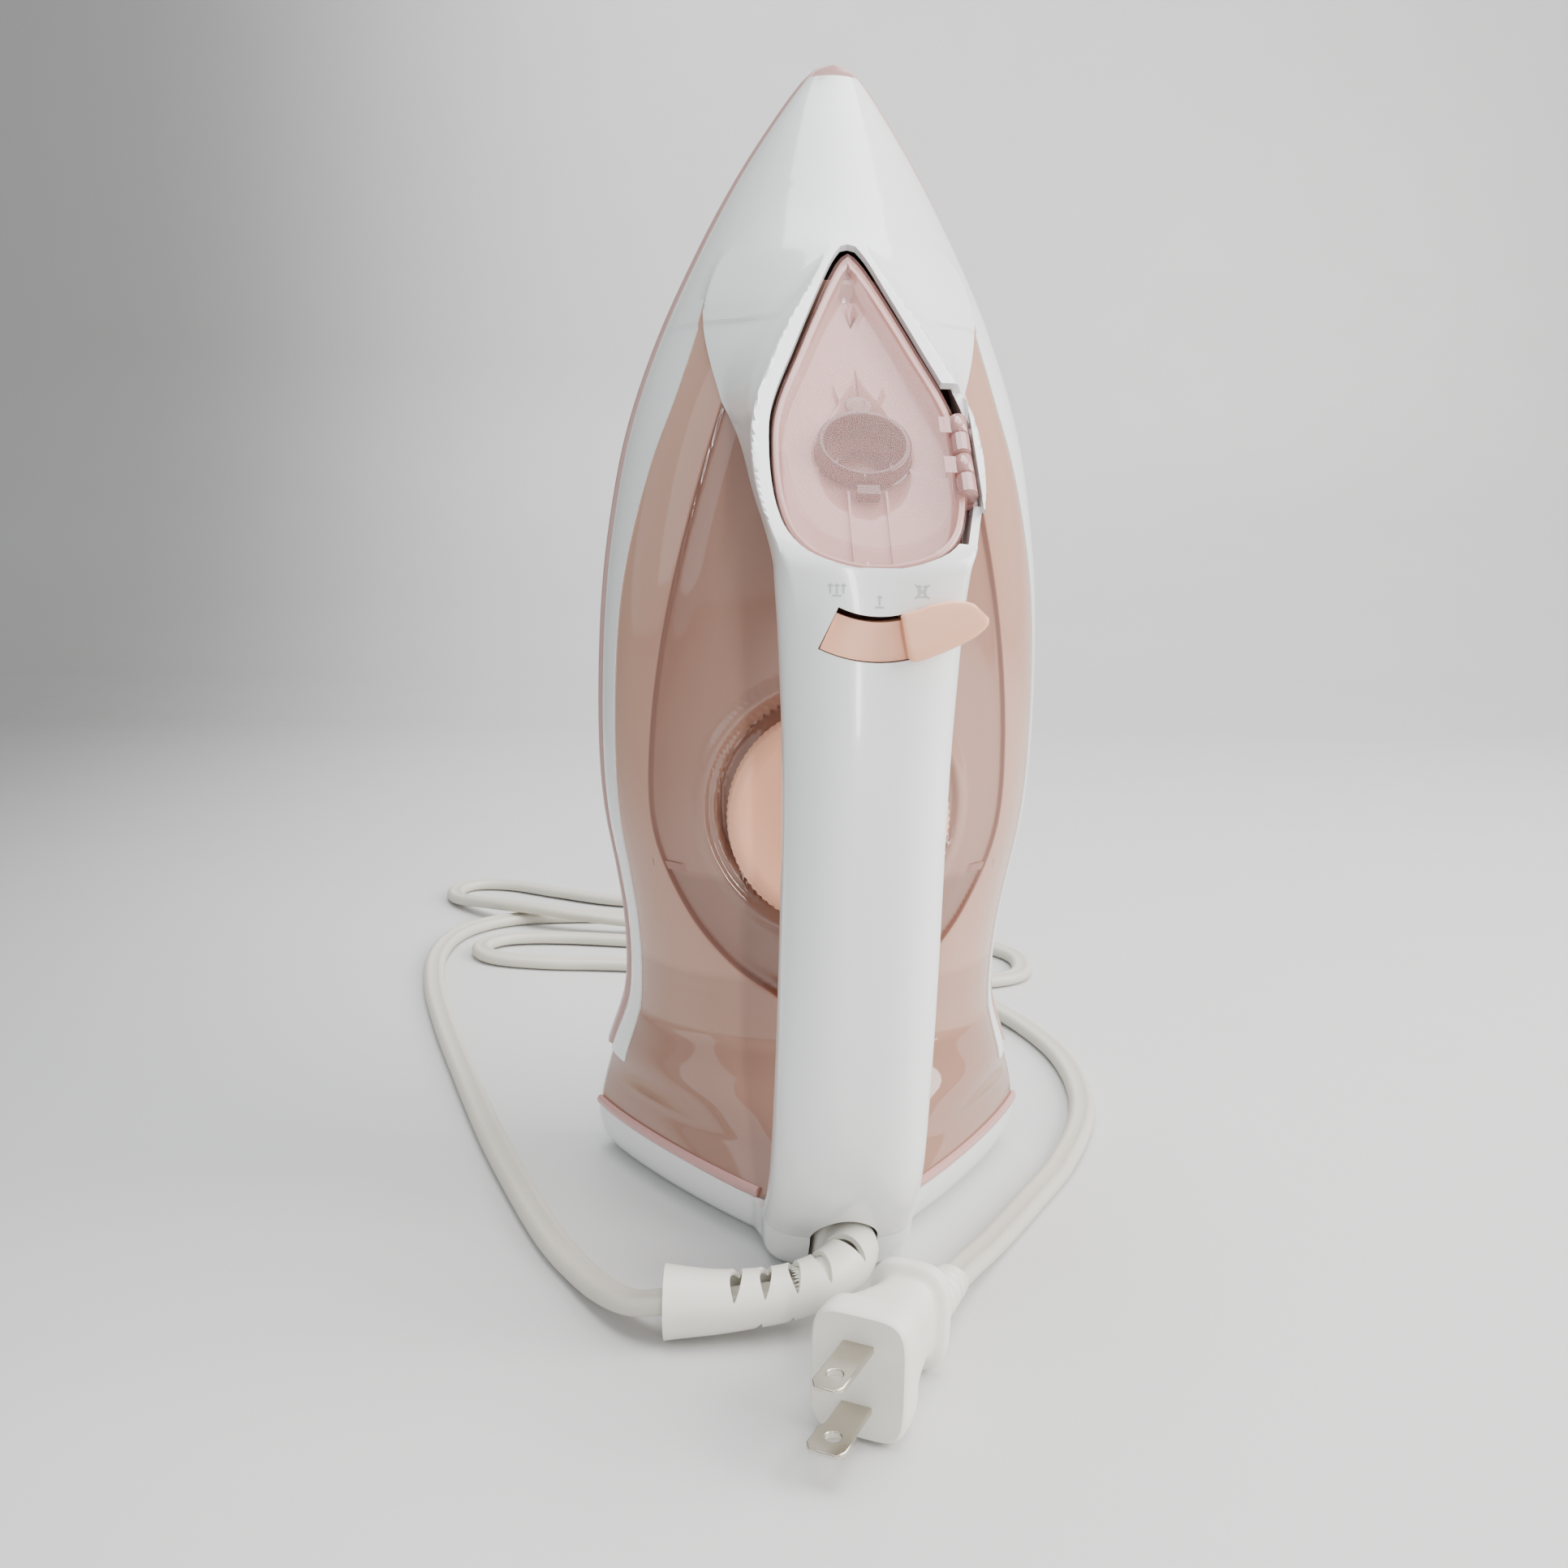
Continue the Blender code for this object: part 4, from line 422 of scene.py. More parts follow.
nickel = worn(new_material("nickel_plate", (0.62, 0.575, 0.50), 0.26, 1.0), 1400, 0.10, 0.10, 0.08)
BLADE_HALF, HALF_PITCH, FACE_MIDDLE = 0.00318, 0.00635, 0.0136
for name, lift, flare in (("blade_upper", HALF_PITCH, 0.0), ("blade_lower", -HALF_PITCH, 0.0008)):
    root = PLUG_START + PLUG_ON * 0.0558
    root.z = FACE_MIDDLE + lift
    blade_rows = []
    for far, half in ((0, BLADE_HALF), (0.0085, BLADE_HALF), (0.0106, BLADE_HALF + flare),
                      (0.0158, BLADE_HALF + flare), (0.0172, 0.0022 + flare), (0.0175, 0.0018 + flare)):
        thick = 0.00072 if far < 0.0170 else 0.0004
        c, across, up = root + PLUG_ON * far, PLUG_SIDE * half, Vector((0, 0, thick))
        blade_rows.append([c - across - up, c + across - up, c + across + up, c - across + up])
    blade = skin(name + "_pin", blade_rows, nickel, "housing")
    hole = root + PLUG_ON * 0.0124
    drill = [[hole + Vector((0, 0, z)) + (PLUG_SIDE * math.cos(t) + PLUG_ON * math.sin(t)) * 0.00165
              for t in turns(28)] for z in (-0.003, 0.003)]
    cut_out(blade, [skin("drill", drill, None, None)])
    edge = blade.modifiers.new("edge", "BEVEL")
    edge.width, edge.segments, edge.angle_limit = 0.00018, 2, math.radians(50)
    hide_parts(name)

# ---------------------------------------------------------------- white housing and handle
# One glossy white moulding to the eye: the nose, the strips down both flanks, the neck that holds the filler
# lid, and the long cover of the handle. Injection moulded with a thin wall, clipped over the tank. Its curves
# are given first, as shares of the iron's length: plan, dome, nose, handle and neck.
LONG, HALF, SKIRT_TOP, RIM = 0.289, 0.060, 0.0130, 0.0013
PLAN = (
    (0.000, 0.950), (0.042, 1.000), (0.100, 0.945), (0.150, 0.868), (0.190, 0.857), (0.235, 0.873), (0.280, 0.910),
    (0.330, 0.958), (0.380, 0.982), (0.450, 0.988), (0.530, 0.975), (0.600, 0.940), (0.680, 0.868), (0.760, 0.740),
    (0.840, 0.565), (0.900, 0.410), (0.950, 0.255), (0.985, 0.130), (1.000, 0.050),
)
DOME = (
    (0.042, 0.0960), (0.070, 0.0860), (0.100, 0.0720), (0.130, 0.0610), (0.165, 0.0560), (0.250, 0.0560),
    (0.400, 0.0580), (0.560, 0.0600), (0.700, 0.0600), (0.780, 0.0570),
)
FULLNESS = (
    (0.042, 1.20), (0.075, 1.35), (0.110, 1.75), (0.150, 2.10), (0.250, 2.25), (0.600, 2.25), (0.900, 1.80),
)
NOSE = (
    (0.755, 0.0590), (0.790, 0.0578), (0.820, 0.0540), (0.860, 0.0440), (0.900, 0.0350), (0.940, 0.0262),
    (0.975, 0.0185), (0.997, 0.0148),
)
HANDLE = (
    (0.042, 0.0980), (0.070, 0.1060), (0.110, 0.1135), (0.160, 0.1180), (0.250, 0.1225), (0.380, 0.1250),
    (0.480, 0.1255), (0.570, 0.1245),
)
HANDLE_HALF = (
    (0.042, 0.0178), (0.090, 0.0173), (0.350, 0.0172), (0.450, 0.0177), (0.520, 0.0188), (0.590, 0.0200),
)
NECK_FOOT = (
    (0.575, 0.0200), (0.620, 0.0216), (0.657, 0.0246), (0.700, 0.0286), (0.754, 0.0318), (0.790, 0.0306),
    (0.830, 0.0270),
)
NECK_TOP = (
    (0.575, 0.0203), (0.605, 0.0222), (0.640, 0.0242), (0.680, 0.0240), (0.720, 0.0202), (0.760, 0.0146),
    (0.800, 0.0078), (0.820, 0.0045),
)
EDGE = (
    (0.042, 0.0230), (0.150, 0.0260), (0.300, 0.0280), (0.450, 0.0290), (0.530, 0.0305), (0.600, 0.0340),
    (0.655, 0.0370), (0.700, 0.0392), (0.735, 0.0390), (0.7605, 0.0378), (0.790, 0.0350),
)
SLOPE_LOW, SLOPE_HIGH = (0.1670, 0.1240), (0.2370, 0.0540)  # ends of the lid's slope: height, depth
COVER_SIDE = 0.0150  # how far the cover comes down the handle's sides
GRIP_END = 0.1520  # height where the handle begins to turn into the neck


def half_width(z):
    return HALF * smooth(PLAN, z / LONG)


def section_top(z):
    return smooth(DOME, z / LONG) if z / LONG < 0.765 else smooth(NOSE, z / LONG)


def handle_top(z):
    return smooth(HANDLE, z / LONG)


def powers(z):
    p = smooth(FULLNESS, z / LONG)
    return p, max(p * 0.85, 1.15)


def search(below, high, steps):
    """Halves the range from nought to high, down to the place where below() stops being true."""
    low = middle = 0.0
    for _ in range(steps):
        middle = (low + high) / 2
        low, high = (middle, high) if below(middle) else (low, middle)
    return low, middle


def body_reach(z, turn, inset=0.0):
    """How far the body's skin is from the middle of the skirt's top, in a direction round it."""
    p, q = powers(z)
    wide, tall = max(half_width(z) - RIM - inset, 0.001), max(section_top(z) - SKIRT_TOP - inset, 0.0008)
    c, s = max(abs(math.cos(turn)), 1e-9), max(math.sin(turn), 1e-9)
    return search(lambda r: (r * c / wide) ** p + (r * s / tall) ** q < 1, 0.14, 34)[0]


def edge_turn(z, depth, steps):
    """The direction in which the body's skin is at a depth."""
    return search(lambda turn: body_reach(z, turn) * math.sin(turn) < depth - SKIRT_TOP, math.pi / 2, steps)[1]


def skin_depth(z, x, inset=0.0):
    p, q = powers(z)
    wide, tall = half_width(z) - RIM - inset, section_top(z) - SKIRT_TOP - inset
    return SKIRT_TOP + tall * max(1 - min(abs(x) / wide, 1.0) ** p, 0.0) ** (1 / q)


def slope_depth(z):
    (z0, d0), (z1, d1) = SLOPE_LOW, SLOPE_HIGH
    return min(d0 + (z - z0) * (d1 - d0) / (z1 - z0), handle_top(z))


def blend_up(a, b, k):
    """The larger of two, rounded where they meet."""
    h = max(k - abs(a - b), 0) / k
    return max(a, b) + h * h * k / 4


def neck_reach(z, turn):
    """The same for the neck: flanks that sweep in from a wide foot to a flat top."""
    foot_half, top_half = smooth(NECK_FOOT, z / LONG), smooth(NECK_TOP, z / LONG)
    foot, top = skin_depth(z, foot_half) - 0.0010, slope_depth(z)
    c, s = math.cos(turn), math.sin(turn)
    foot_turn = math.atan2(foot - SKIRT_TOP, foot_half)
    if turn <= foot_turn:
        return math.hypot(foot_half, foot - SKIRT_TOP) - (foot_turn - turn) * 0.10
    flat = (top - SKIRT_TOP) / s

    def flank(u):
        return top_half + (foot_half - top_half) * (1 - u) ** 1.6, foot + (top - foot) * u - SKIRT_TOP

    u = search(lambda u: math.atan2(*flank(u)[::-1]) < turn, 1.0, 26)[1]
    side = math.hypot(*flank(u)) if u < 0.9999 else 9.0
    return -blend_up(-flat, -side, 0.0028) if top - foot > 0.002 else min(flat, side)


def white_reach(z, turn):
    """Body and neck together, from the right flank to the middle."""
    share = z / LONG
    if share > 0.835:
        return body_reach(z, turn)
    fade = min(max((share - 0.79) / 0.045, 0), 1)
    soft = 0.0018 + 0.0060 * min(max((share - 0.70) / 0.08, 0), 1)
    both = blend_up(body_reach(z, turn), neck_reach(z, turn), soft)
    return both + (body_reach(z, turn) - both) * fade * fade


APEX, BOW = 0.2275, 0.0130  # top of the tank's windows, and how far down their round arch begins


def edges(z):
    """Directions of the strip's edge and the neck's foot; they close in an arch at the window's top."""
    edge = edge_turn(z, smooth(EDGE, min(z, APEX) / LONG), 30)
    foot_half = smooth(NECK_FOOT, z / LONG)
    foot = math.atan2(skin_depth(z, foot_half) - SKIRT_TOP, foot_half)
    foot = max(foot, edge + 0.0001)
    middle = edge + (foot - edge) * 0.46
    if z > APEX - BOW:
        t = min((z - (APEX - BOW)) / BOW, 1.0)
        keep = math.sqrt(max(1 - t * t, 0.0))
        edge, foot = middle + (edge - middle) * keep, middle + (foot - middle) * keep
    return edge, foot


def resample(points, count):
    """The same line with evenly spaced points."""
    far = [0.0]
    for a, b in zip(points, points[1:]):
        far.append(far[-1] + (b - a).length)
    made, k = [], 0
    for i in range(count):
        want = far[-1] * i / (count - 1)
        while k < len(far) - 2 and far[k + 1] < want:
            k += 1
        made.append(points[k].lerp(points[k + 1], min(max((want - far[k]) / max(far[k + 1] - far[k], 1e-9), 0), 1)))
    return made


def eased(x, low, high):
    """Goes softly from 0 to 1 between two values."""
    t = min(max((x - low) / (high - low), 0), 1)
    return t * t * (3 - 2 * t)


def cover_foot(z):
    """Depth of the cover's lower edge: along the handle, then down the neck to the tank."""
    grip = handle_top(z) - COVER_SIDE
    if z <= 0.166:
        return grip
    base = skin_depth(z, smooth(NECK_FOOT, z / LONG))
    return grip + (base - grip) * eased(z, 0.166, 0.203)


def grip_point(a, wide, foot, tall):
    """A place on the handle's rounded section: half-width and depth at a direction."""
    return math.copysign(abs(math.cos(a)) ** 0.62, math.cos(a)) * wide, foot + tall * max(math.sin(a), 0.0) ** 0.80


def cover_half(z, count=27):
    """The right half of the white section over handle or neck, from its lower edge to the middle."""
    low, top, wide = cover_foot(z), handle_top(z), smooth(HANDLE_HALF, z / LONG)
    grip = [at(*grip_point(math.pi / 2 * i / 40, wide, low, top - low), z) for i in range(41)]
    if z <= GRIP_END:
        return resample(grip, count)
    start = edges(z)[1]
    neck = []
    for i in range(141):
        turn = start + (math.pi / 2 - start) * i / 140
        r = white_reach(z, turn)
        neck.append(at(r * math.cos(turn), SKIRT_TOP + r * math.sin(turn), z))
    if z < 0.203:
        neck = [p for p in neck if SOLE_Y - p.y > low] or neck[-2:]
        neck = [Vector((neck[0].x, SOLE_Y - low, z))] + neck
    t = eased(z, GRIP_END, 0.180)
    return [a.lerp(b, t) for a, b in zip(resample(grip, count), resample(neck, count))]


def flipped(row):
    """The same points on the left, in the opposite order."""
    return [Vector((-p.x, p.y, p.z)) for p in reversed(row)]


heights = [0.0131 + (GRIP_END - 0.0131) * i / 44 for i in range(44)]
heights += [GRIP_END + (APEX - BOW - GRIP_END) * i / 40 for i in range(40)]
heights += [APEX - BOW + BOW * math.sin(math.pi / 2 * i / 22) for i in range(23)]
heights += [APEX + (0.2848 - APEX) * i / 38 for i in range(1, 39)]
shell = bmesh.new()
STRIP, COVER = 9, 55
shell_rows = []
for z in heights:
    edge = edges(z)[0]
    strip = []
    for i in range(STRIP):
        turn = edge * i / (STRIP - 1)
        r = white_reach(z, turn) if z > 0.17 else body_reach(z, turn)
        strip.append(at(r * math.cos(turn), SKIRT_TOP + r * math.sin(turn), z))
    half = cover_half(z, COVER)
    shell_rows.append((strip, half + flipped(half[:-1])))
known = {}


def corner_key(p):
    return round(p.x * 5e5), round(p.y * 5e5), round(p.z * 5e5)


def lay(row_a, row_b):
    """Faces between two rows of the shell, sharing the corners already made."""
    def corner(p):
        key = corner_key(p)
        if key not in known:
            known[key] = shell.verts.new(p)
        return known[key]

    for a, b, c, d in zip(row_a, row_a[1:], row_b[1:], row_b):
        ring = []
        for v in (corner(a), corner(b), corner(c), corner(d)):
            if v not in ring:
                ring.append(v)
        if len(ring) > 2:
            shell.faces.new(ring)


for (strip_a, cover_a), (strip_b, cover_b) in zip(shell_rows, shell_rows[1:]):
    if strip_a[0].z > 0.0285:
        lay(strip_a, strip_b)
        lay(flipped(strip_a), flipped(strip_b))
    lay(cover_a, cover_b)
tip_strip, tip_cover = shell_rows[-1]
cap = []
for p in tip_strip + tip_cover + flipped(tip_strip):
    vert = known.get(corner_key(p))
    if vert and vert not in cap:
        cap.append(vert)
if len(cap) > 2:
    shell.faces.new(cap)
bmesh.ops.remove_doubles(shell, verts=shell.verts, dist=0.00001)
white = worn(new_material("white_plastic", (0.86, 0.875, 0.865), 0.16, coat=0.35), 1500, 0.02, 0.05, 0.012)
housing = piece("white_housing", shell, white, "housing", 40)


def walled(obj, thick, offset=-1):
    """Gives a thin skin its wall."""
    wall = obj.modifiers.new("wall", "SOLIDIFY")
    wall.thickness, wall.offset = thick, offset


walled(housing, 0.0017)
settled(housing)


def slope_point(x, t, lift=0.0):
    """A place on the neck's slope: x across, t up along it, lift out of it."""
    (z0, d0), (z1, d1) = SLOPE_LOW, SLOPE_HIGH
    long = math.hypot(z1 - z0, d1 - d0)
    dz, dd = (z1 - z0) / long, (d1 - d0) / long
    return at(x, d0 + dd * t + dz * lift, z0 + dz * t - dd * lift)


def slope_block(name, across, along_slope, lifts, material, body):
    """A block square to the slope."""
    corners = [(across[0], lifts[0]), (across[1], lifts[0]), (across[1], lifts[1]), (across[0], lifts[1])]
    return skin(name, [[slope_point(x, t, lift) for x, lift in corners] for t in along_slope], material, body)


LID = (
    (0.000, 0.0040), (0.012, 0.0085), (0.040, 0.0136), (0.090, 0.0172), (0.150, 0.0190), (0.230, 0.0200),
    (0.330, 0.0202), (0.430, 0.0196), (0.520, 0.0176), (0.640, 0.0138), (0.760, 0.0100), (0.880, 0.0060),
    (0.960, 0.0030), (1.000, 0.0008),
)
SLOPE_LONG = math.hypot(SLOPE_HIGH[0] - SLOPE_LOW[0], SLOPE_HIGH[1] - SLOPE_LOW[1])


def lid_line(inset, lift, count=56):
    """The lid's outline in the slope, evenly spaced, counted from its lower end round by the right."""
    right = []
    for i in range(90):
        share = (i / 89) ** 1.6
        right.append(Vector((max(smooth(LID, share) - inset, 0.0), inset + share * (SLOPE_LONG - inset * 3.2), 0)))
    right = [Vector((0, right[0].y, 0))] + right + [Vector((0, right[-1].y, 0))]
    half = resample(right, count)
    return [slope_point(p.x, p.y, lift) for p in half + flipped(half[1:-1])]


PIVOT_Z, LEVER_RADIUS, SLOT_HALF = 0.1765, 0.0240, 0.0047


def round_pivot(radius, degrees, depth):
    a = math.radians(degrees)
    return at(radius * math.sin(a), depth, PIVOT_Z - radius * math.cos(a))


def sector(name, r0, r1, a0, a1, low, high, material, body, count=32):
    """A curved bar round the lever's pivot."""
    rows = []
    for i in range(count):
        a = a0 + (a1 - a0) * i / (count - 1)
        lo, hi = (low(a) if callable(low) else low), (high(a) if callable(high) else high)
        rows.append([round_pivot(r0, a, lo), round_pivot(r1, a, lo), round_pivot(r1, a, hi), round_pivot(r0, a, hi)])
    return skin(name, rows, material, body)


def outlet_line(grow, depth, count=21):
    half = 0.0072 + grow
    bend = [(half * math.cos(math.pi * i / (count - 1)), 0.0128 + half * math.sin(math.pi * i / (count - 1)))
            for i in range(count)]
    return [at(x, depth, z) for x, z in [(-half, 0.0045 - grow), (half, 0.0045 - grow)] + bend]


TOP_DEPTH = handle_top(PIVOT_Z - LEVER_RADIUS)
cut_out(housing, [
    skin("lid_room", [lid_line(-0.0006, -0.0090), lid_line(-0.0006, 0.0110)], None, None),
    sector("lever_room", LEVER_RADIUS - SLOT_HALF + 0.0002, LEVER_RADIUS + SLOT_HALF, -24.5, 24.5,
           TOP_DEPTH - 0.010, TOP_DEPTH + 0.006, None, None),
    skin("outlet_room", [outlet_line(0.0006, 0.070), outlet_line(0.0006, 0.120)], None, None),
    slope_block("swing_room", (0.0158, 0.0226), (0.0060, 0.0540), (-0.0027, 0.0070), None, None),
    slope_block("hinge_room", (0.0153, 0.0227), (0.0194, 0.0446), (-0.0052, 0.0070), None, None),
], folded=True)
edge_round = housing.modifiers.new("edge", "BEVEL")
edge_round.width, edge_round.segments, edge_round.angle_limit = 0.00035, 2, math.radians(48)
edge_round.limit_method = "ANGLE"
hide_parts("upper_housing", "handle_cover")

# ---------------------------------------------------------------- water tank
# The tank's shell of rose-tinted clear plastic, polished. A shallow hollow runs down each side of the handle
# inside a curved line, a raised ring stands round the dial, and the shell flares out over the heel.
GROOVE = (  # height, half-width of the line round the hollow
    (0.0560, 0.0120), (0.0640, 0.0240), (0.0764, 0.0350), (0.0945, 0.0435), (0.1140, 0.0452), (0.1440, 0.0425),
    (0.1750, 0.0360), (0.2080, 0.0265), (0.2240, 0.0200),
)


def groove_distance(x, z):
    """How far a place is inside the line round the hollow; below zero it is outside."""
    if z < GROOVE[0][0] + 0.0005:
        return (z - GROOVE[0][0]) * 0.9 - max(abs(x) - 0.012, 0) * 0.3
    here = smooth(GROOVE, z)
    slope = (smooth(GROOVE, z + 0.001) - smooth(GROOVE, z - 0.001)) / 0.002
    side = (here - abs(x)) / math.sqrt(1 + slope * slope)
    return min(side, (z - GROOVE[0][0]) * 0.9)


DIAL_Z, DIAL_RADIUS = 0.105, 0.0268
tank_rows, marks = [], []
for z in [0.0133 + (0.2300 - 0.0133) * (i / 175) for i in range(176)]:
    start_depth = smooth(EDGE, z / LONG) - 0.0012
    start = edge_turn(z, start_depth + (0.0135 - start_depth) * (1 - eased(z, 0.0300, 0.0400)), 26)
    half, half_marks = [], []
    for i in range(75):
        turn = start + (math.pi / 2 - start) * i / 74
        r = body_reach(z, turn, 0.00035)
        x, d = r * math.cos(turn), SKIRT_TOP + r * math.sin(turn)
        inside = groove_distance(x, z)
        near = math.hypot(x, z - DIAL_Z)
        hollow = 0.0011 * eased(inside, -0.0003, 0.0011) - 0.0006 * eased(inside, 0.0011, 0.0060)
        ring = 0.0012 * (eased(near, DIAL_RADIUS + 0.0078, DIAL_RADIUS + 0.0066)
                         * (1 - eased(near, DIAL_RADIUS + 0.0050, DIAL_RADIUS + 0.0038)))
        well = 0.0058 * (1 - eased(near, DIAL_RADIUS + 0.0012, DIAL_RADIUS + 0.0018))
        crease = 0.0005 * math.exp(-((z - 0.0445) / 0.0011) ** 2)
        half.append(at(x, d - hollow + ring - well - crease, z))
        half_marks.append((inside, near, z))
    tank_rows.append(half + flipped(half[:-1]))
    marks.append(half_marks + half_marks[:-1][::-1])
tank_mesh = bpy.data.meshes.new("water_tank_shell")
columns = len(tank_rows[0])
tank_mesh.from_pydata([tuple(p) for row in tank_rows for p in row], [],
                      [(i * columns + j, i * columns + j + 1, (i + 1) * columns + j + 1, (i + 1) * columns + j)
                       for i in range(len(tank_rows) - 1) for j in range(columns - 1)])
# band tells how far each point lies inside the edge of its hollow; the shell's material paints shade along the
# groove from it.
band = tank_mesh.attributes.new("band", "FLOAT", "POINT")
band.data.foreach_set("value", [0.5 + m[0] * 40 for row in marks for m in row])
# Painted shade: this mark is high in the lower part of each hollow below z 0.086, and over the whole shell below z
# 0.06 and below z 0.046, where the handle and heel shade the tank.
heel_end_shade = tank_mesh.attributes.new("heel_end_shade", "FLOAT", "POINT")
heel_end_shade.data.foreach_set("value", [
    0.40 * (1 - eased(m[2], 0.0860, 0.0868)) * eased(m[0], 0.0, 0.001) + 0.30 * (1 - eased(m[2], 0.0600, 0.0606))
    + 0.30 * (1 - eased(m[2], 0.041, 0.046)) for row in marks for m in row])
tank_mesh.shade_smooth()
tank = bpy.data.objects.new("water_tank_shell", tank_mesh)
scene.collection.objects.link(tank)
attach(tank, "housing")
if tank_mesh.polygons[len(tank_mesh.polygons) // 2].normal.y > 0:
    tank_mesh.flip_normals()
walled(tank, 0.0013)


def clear_rose(name, colour, clear, rough=0.06):
    """Tinted clear plastic: some light passes, the rest comes back from the dark inside."""
    m = new_material(name, colour, rough, coat=0.5)
    surface = m.node_tree.nodes["Principled BSDF"]
    surface.inputs["Transmission Weight"].default_value = clear
    surface.inputs["IOR"].default_value = 1.49
    surface.inputs["Coat Roughness"].default_value = 0.04
    return m


rose = clear_rose("rose_clear", (0.40, 0.20, 0.15), 0.12)
tree = rose.node_tree
# Painted shade: the ramp on band gives a dark line along the groove round each hollow that fades to a darker tone
# inside it, against the lighter shell outside.
mark = tree.nodes.new("ShaderNodeAttribute")
mark.attribute_name = "band"
groove_shade_ramp = tree.nodes.new("ShaderNodeValToRGB")
stops = ((0.0, (0.58, 0.335, 0.240)), (0.478, (0.55, 0.305, 0.220)), (0.496, (0.24, 0.100, 0.068)),
         (0.528, (0.24, 0.100, 0.068)), (0.552, (0.37, 0.190, 0.135)), (1.0, (0.45, 0.255, 0.190)))
while len(groove_shade_ramp.color_ramp.elements) < len(stops):
    groove_shade_ramp.color_ramp.elements.new(0.5)
for element, (where, colour) in zip(groove_shade_ramp.color_ramp.elements, stops):
    element.position, element.color = where, (*colour, 1)
tree.links.new(mark.outputs["Fac"], groove_shade_ramp.inputs["Fac"])
# Painted shade: the shell's colour is multiplied darker where that mark is high.
shade_mark = tree.nodes.new("ShaderNodeAttribute")
shade_mark.attribute_name = "heel_end_shade"
darker = tree.nodes.new("ShaderNodeMix")
darker.data_type, darker.blend_type = "RGBA", "MULTIPLY"
darker.inputs["B"].default_value = (0.42, 0.34, 0.32, 1)
tree.links.new(shade_mark.outputs["Fac"], darker.inputs["Factor"])
tree.links.new(groove_shade_ramp.outputs["Color"], darker.inputs["A"])
tree.links.new(darker.outputs["Result"], tree.nodes["Principled BSDF"].inputs["Base Color"])
worn(rose, 1800, 0.015, 0.03, 0.02)
tank_mesh.materials.append(rose)
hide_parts("water_tank")

# the raised clear lip where the shell meets the heel
pink = worn(clear_rose("pink_lip", (0.66, 0.36, 0.33), 0.15), 1800, 0.02, 0.03, 0.02)
for side, name in ((1, "heel_lip_right"), (-1, "heel_lip_left")):
    line = []
    for i in range(40):
        turn = 0.02 + (math.pi / 2 - 0.02) * i / 39
        r = body_reach(0.0150, turn, -0.0002)
        p = at(side * r * math.cos(turn), SKIRT_TOP + r * math.sin(turn), 0.0142)
        if abs(p.x) > 0.0172:
            line.append(p)
    bead_rows = [[p + out * 0.0010 * math.cos(a) + Vector((0, 0, 0.0014 * math.sin(a))) for a in turns(12)]
                 for p, out, _ in frames(line)]
    bead = skin(name, bead_rows, pink, "housing")

# ---------------------------------------------------------------- handle underside
# The rose half of the handle, which the fingers close round; it meets the white cover along the sides and runs
# down under the neck to the tank. Same tinted plastic, thick enough to look darker.
def under_row(z):
    """Across the grip's lower half, from left to right."""
    foot = cover_foot(z) - 0.0002
    wide = (smooth(HANDLE_HALF, z / LONG) if z <= GRIP_END else cover_half(z)[0].x) - 0.0004
    grip = handle_top(z) - 0.0300
    t = min(max((z - 0.1400) / 0.0260, 0), 1)
    low = min(grip + (skin_depth(z, 0.0) - 0.0016 - grip) * t * t, foot - 0.0006)
    return [at(*grip_point(math.pi - math.pi * i / 48, wide, foot, low - foot), z) for i in range(49)]


under_rows = [under_row(0.0134 + (0.2020 - 0.0134) * i / 110) for i in range(111)]
underside = skin("handle_underside_shell", under_rows, None, "housing", loop=False)
if underside.data.polygons[24 * 2].normal.y < 0:
    underside.data.flip_normals()
walled(underside, 0.0014)
rose_dark = worn(clear_rose("rose_grip", (0.34, 0.155, 0.115), 0.10), 1800, 0.02, 0.03, 0.02)
underside.data.materials.append(rose_dark)
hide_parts("handle_underside")

# ---------------------------------------------------------------- heel cover
# The white foot the iron stands on: one moulding that follows the tank's flare and the handle, rounded down
# to the floor, with an arch for the cord and two screws underneath.
def heel_row(z, inset):
    """The heel's outline at a height, drawn in towards the floor."""
    t = min(z / 0.0130, 1)
    shrink_x, shrink_d = 1 - 0.075 * (1 - t) ** 2.2, 1 - 0.125 * (1 - t) ** 1.5
    base, side = 0.0131, smooth(HANDLE_HALF, 0.042)
    top = handle_top(base)
    flank = []
    for i in range(40):
        turn = 1.45 * i / 39
        r = body_reach(base, turn, -0.0003)
        if r * math.cos(turn) > side + 0.0004:
            flank.append((r * math.cos(turn), SKIRT_TOP + r * math.sin(turn)))
    wide = half_width(base)
    right = [(wide - 0.0060, 0.0068), (wide - 0.0022, 0.0090)] + flank
    right += [grip_point(math.pi / 2 * i / 26, side, top - COVER_SIDE, COVER_SIDE) for i in range(27)]
    line = [Vector((x * shrink_x, 0.010 + (d - 0.010) * shrink_d, 0)) for x, d in right]
    half = resample(line, 74)
    half = [at(max(p.x - inset, 0), max(p.y - inset * 0.8, 0.0068 + inset), z) for p in half]
    return half + [p for p in flipped(half) if p.x < -0.00001]


heel_levels = [(0.0030, 0.0022), (0.01305, 0.0020), (0.01305, 0.0), (0.0110, 0.0), (0.0080, 0.0), (0.0055, 0.0),
               (0.0035, 0.0), (0.0018, 0.00015), (0.0006, 0.0007), (0.0001, 0.0016)]
heel = skin("heel_foot", [heel_row(z, inset) for z, inset in heel_levels], white, "housing", angle=50)
cut_out(heel, [skin("outlet_room", [outlet_line(0.0006, 0.070), outlet_line(0.0006, 0.115)], None, None)])
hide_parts("heel_cover")
gland_rows = [outlet_line(-0.0028, 0.0760), outlet_line(-0.0008, 0.0790), outlet_line(-0.0003, 0.0920),
              outlet_line(-0.0006, 0.0975), outlet_line(-0.0013, 0.1000), outlet_line(-0.0026, 0.1014)]
gland = skin("cord_root", gland_rows, ivory, "housing", angle=40)
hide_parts("cord_gland")

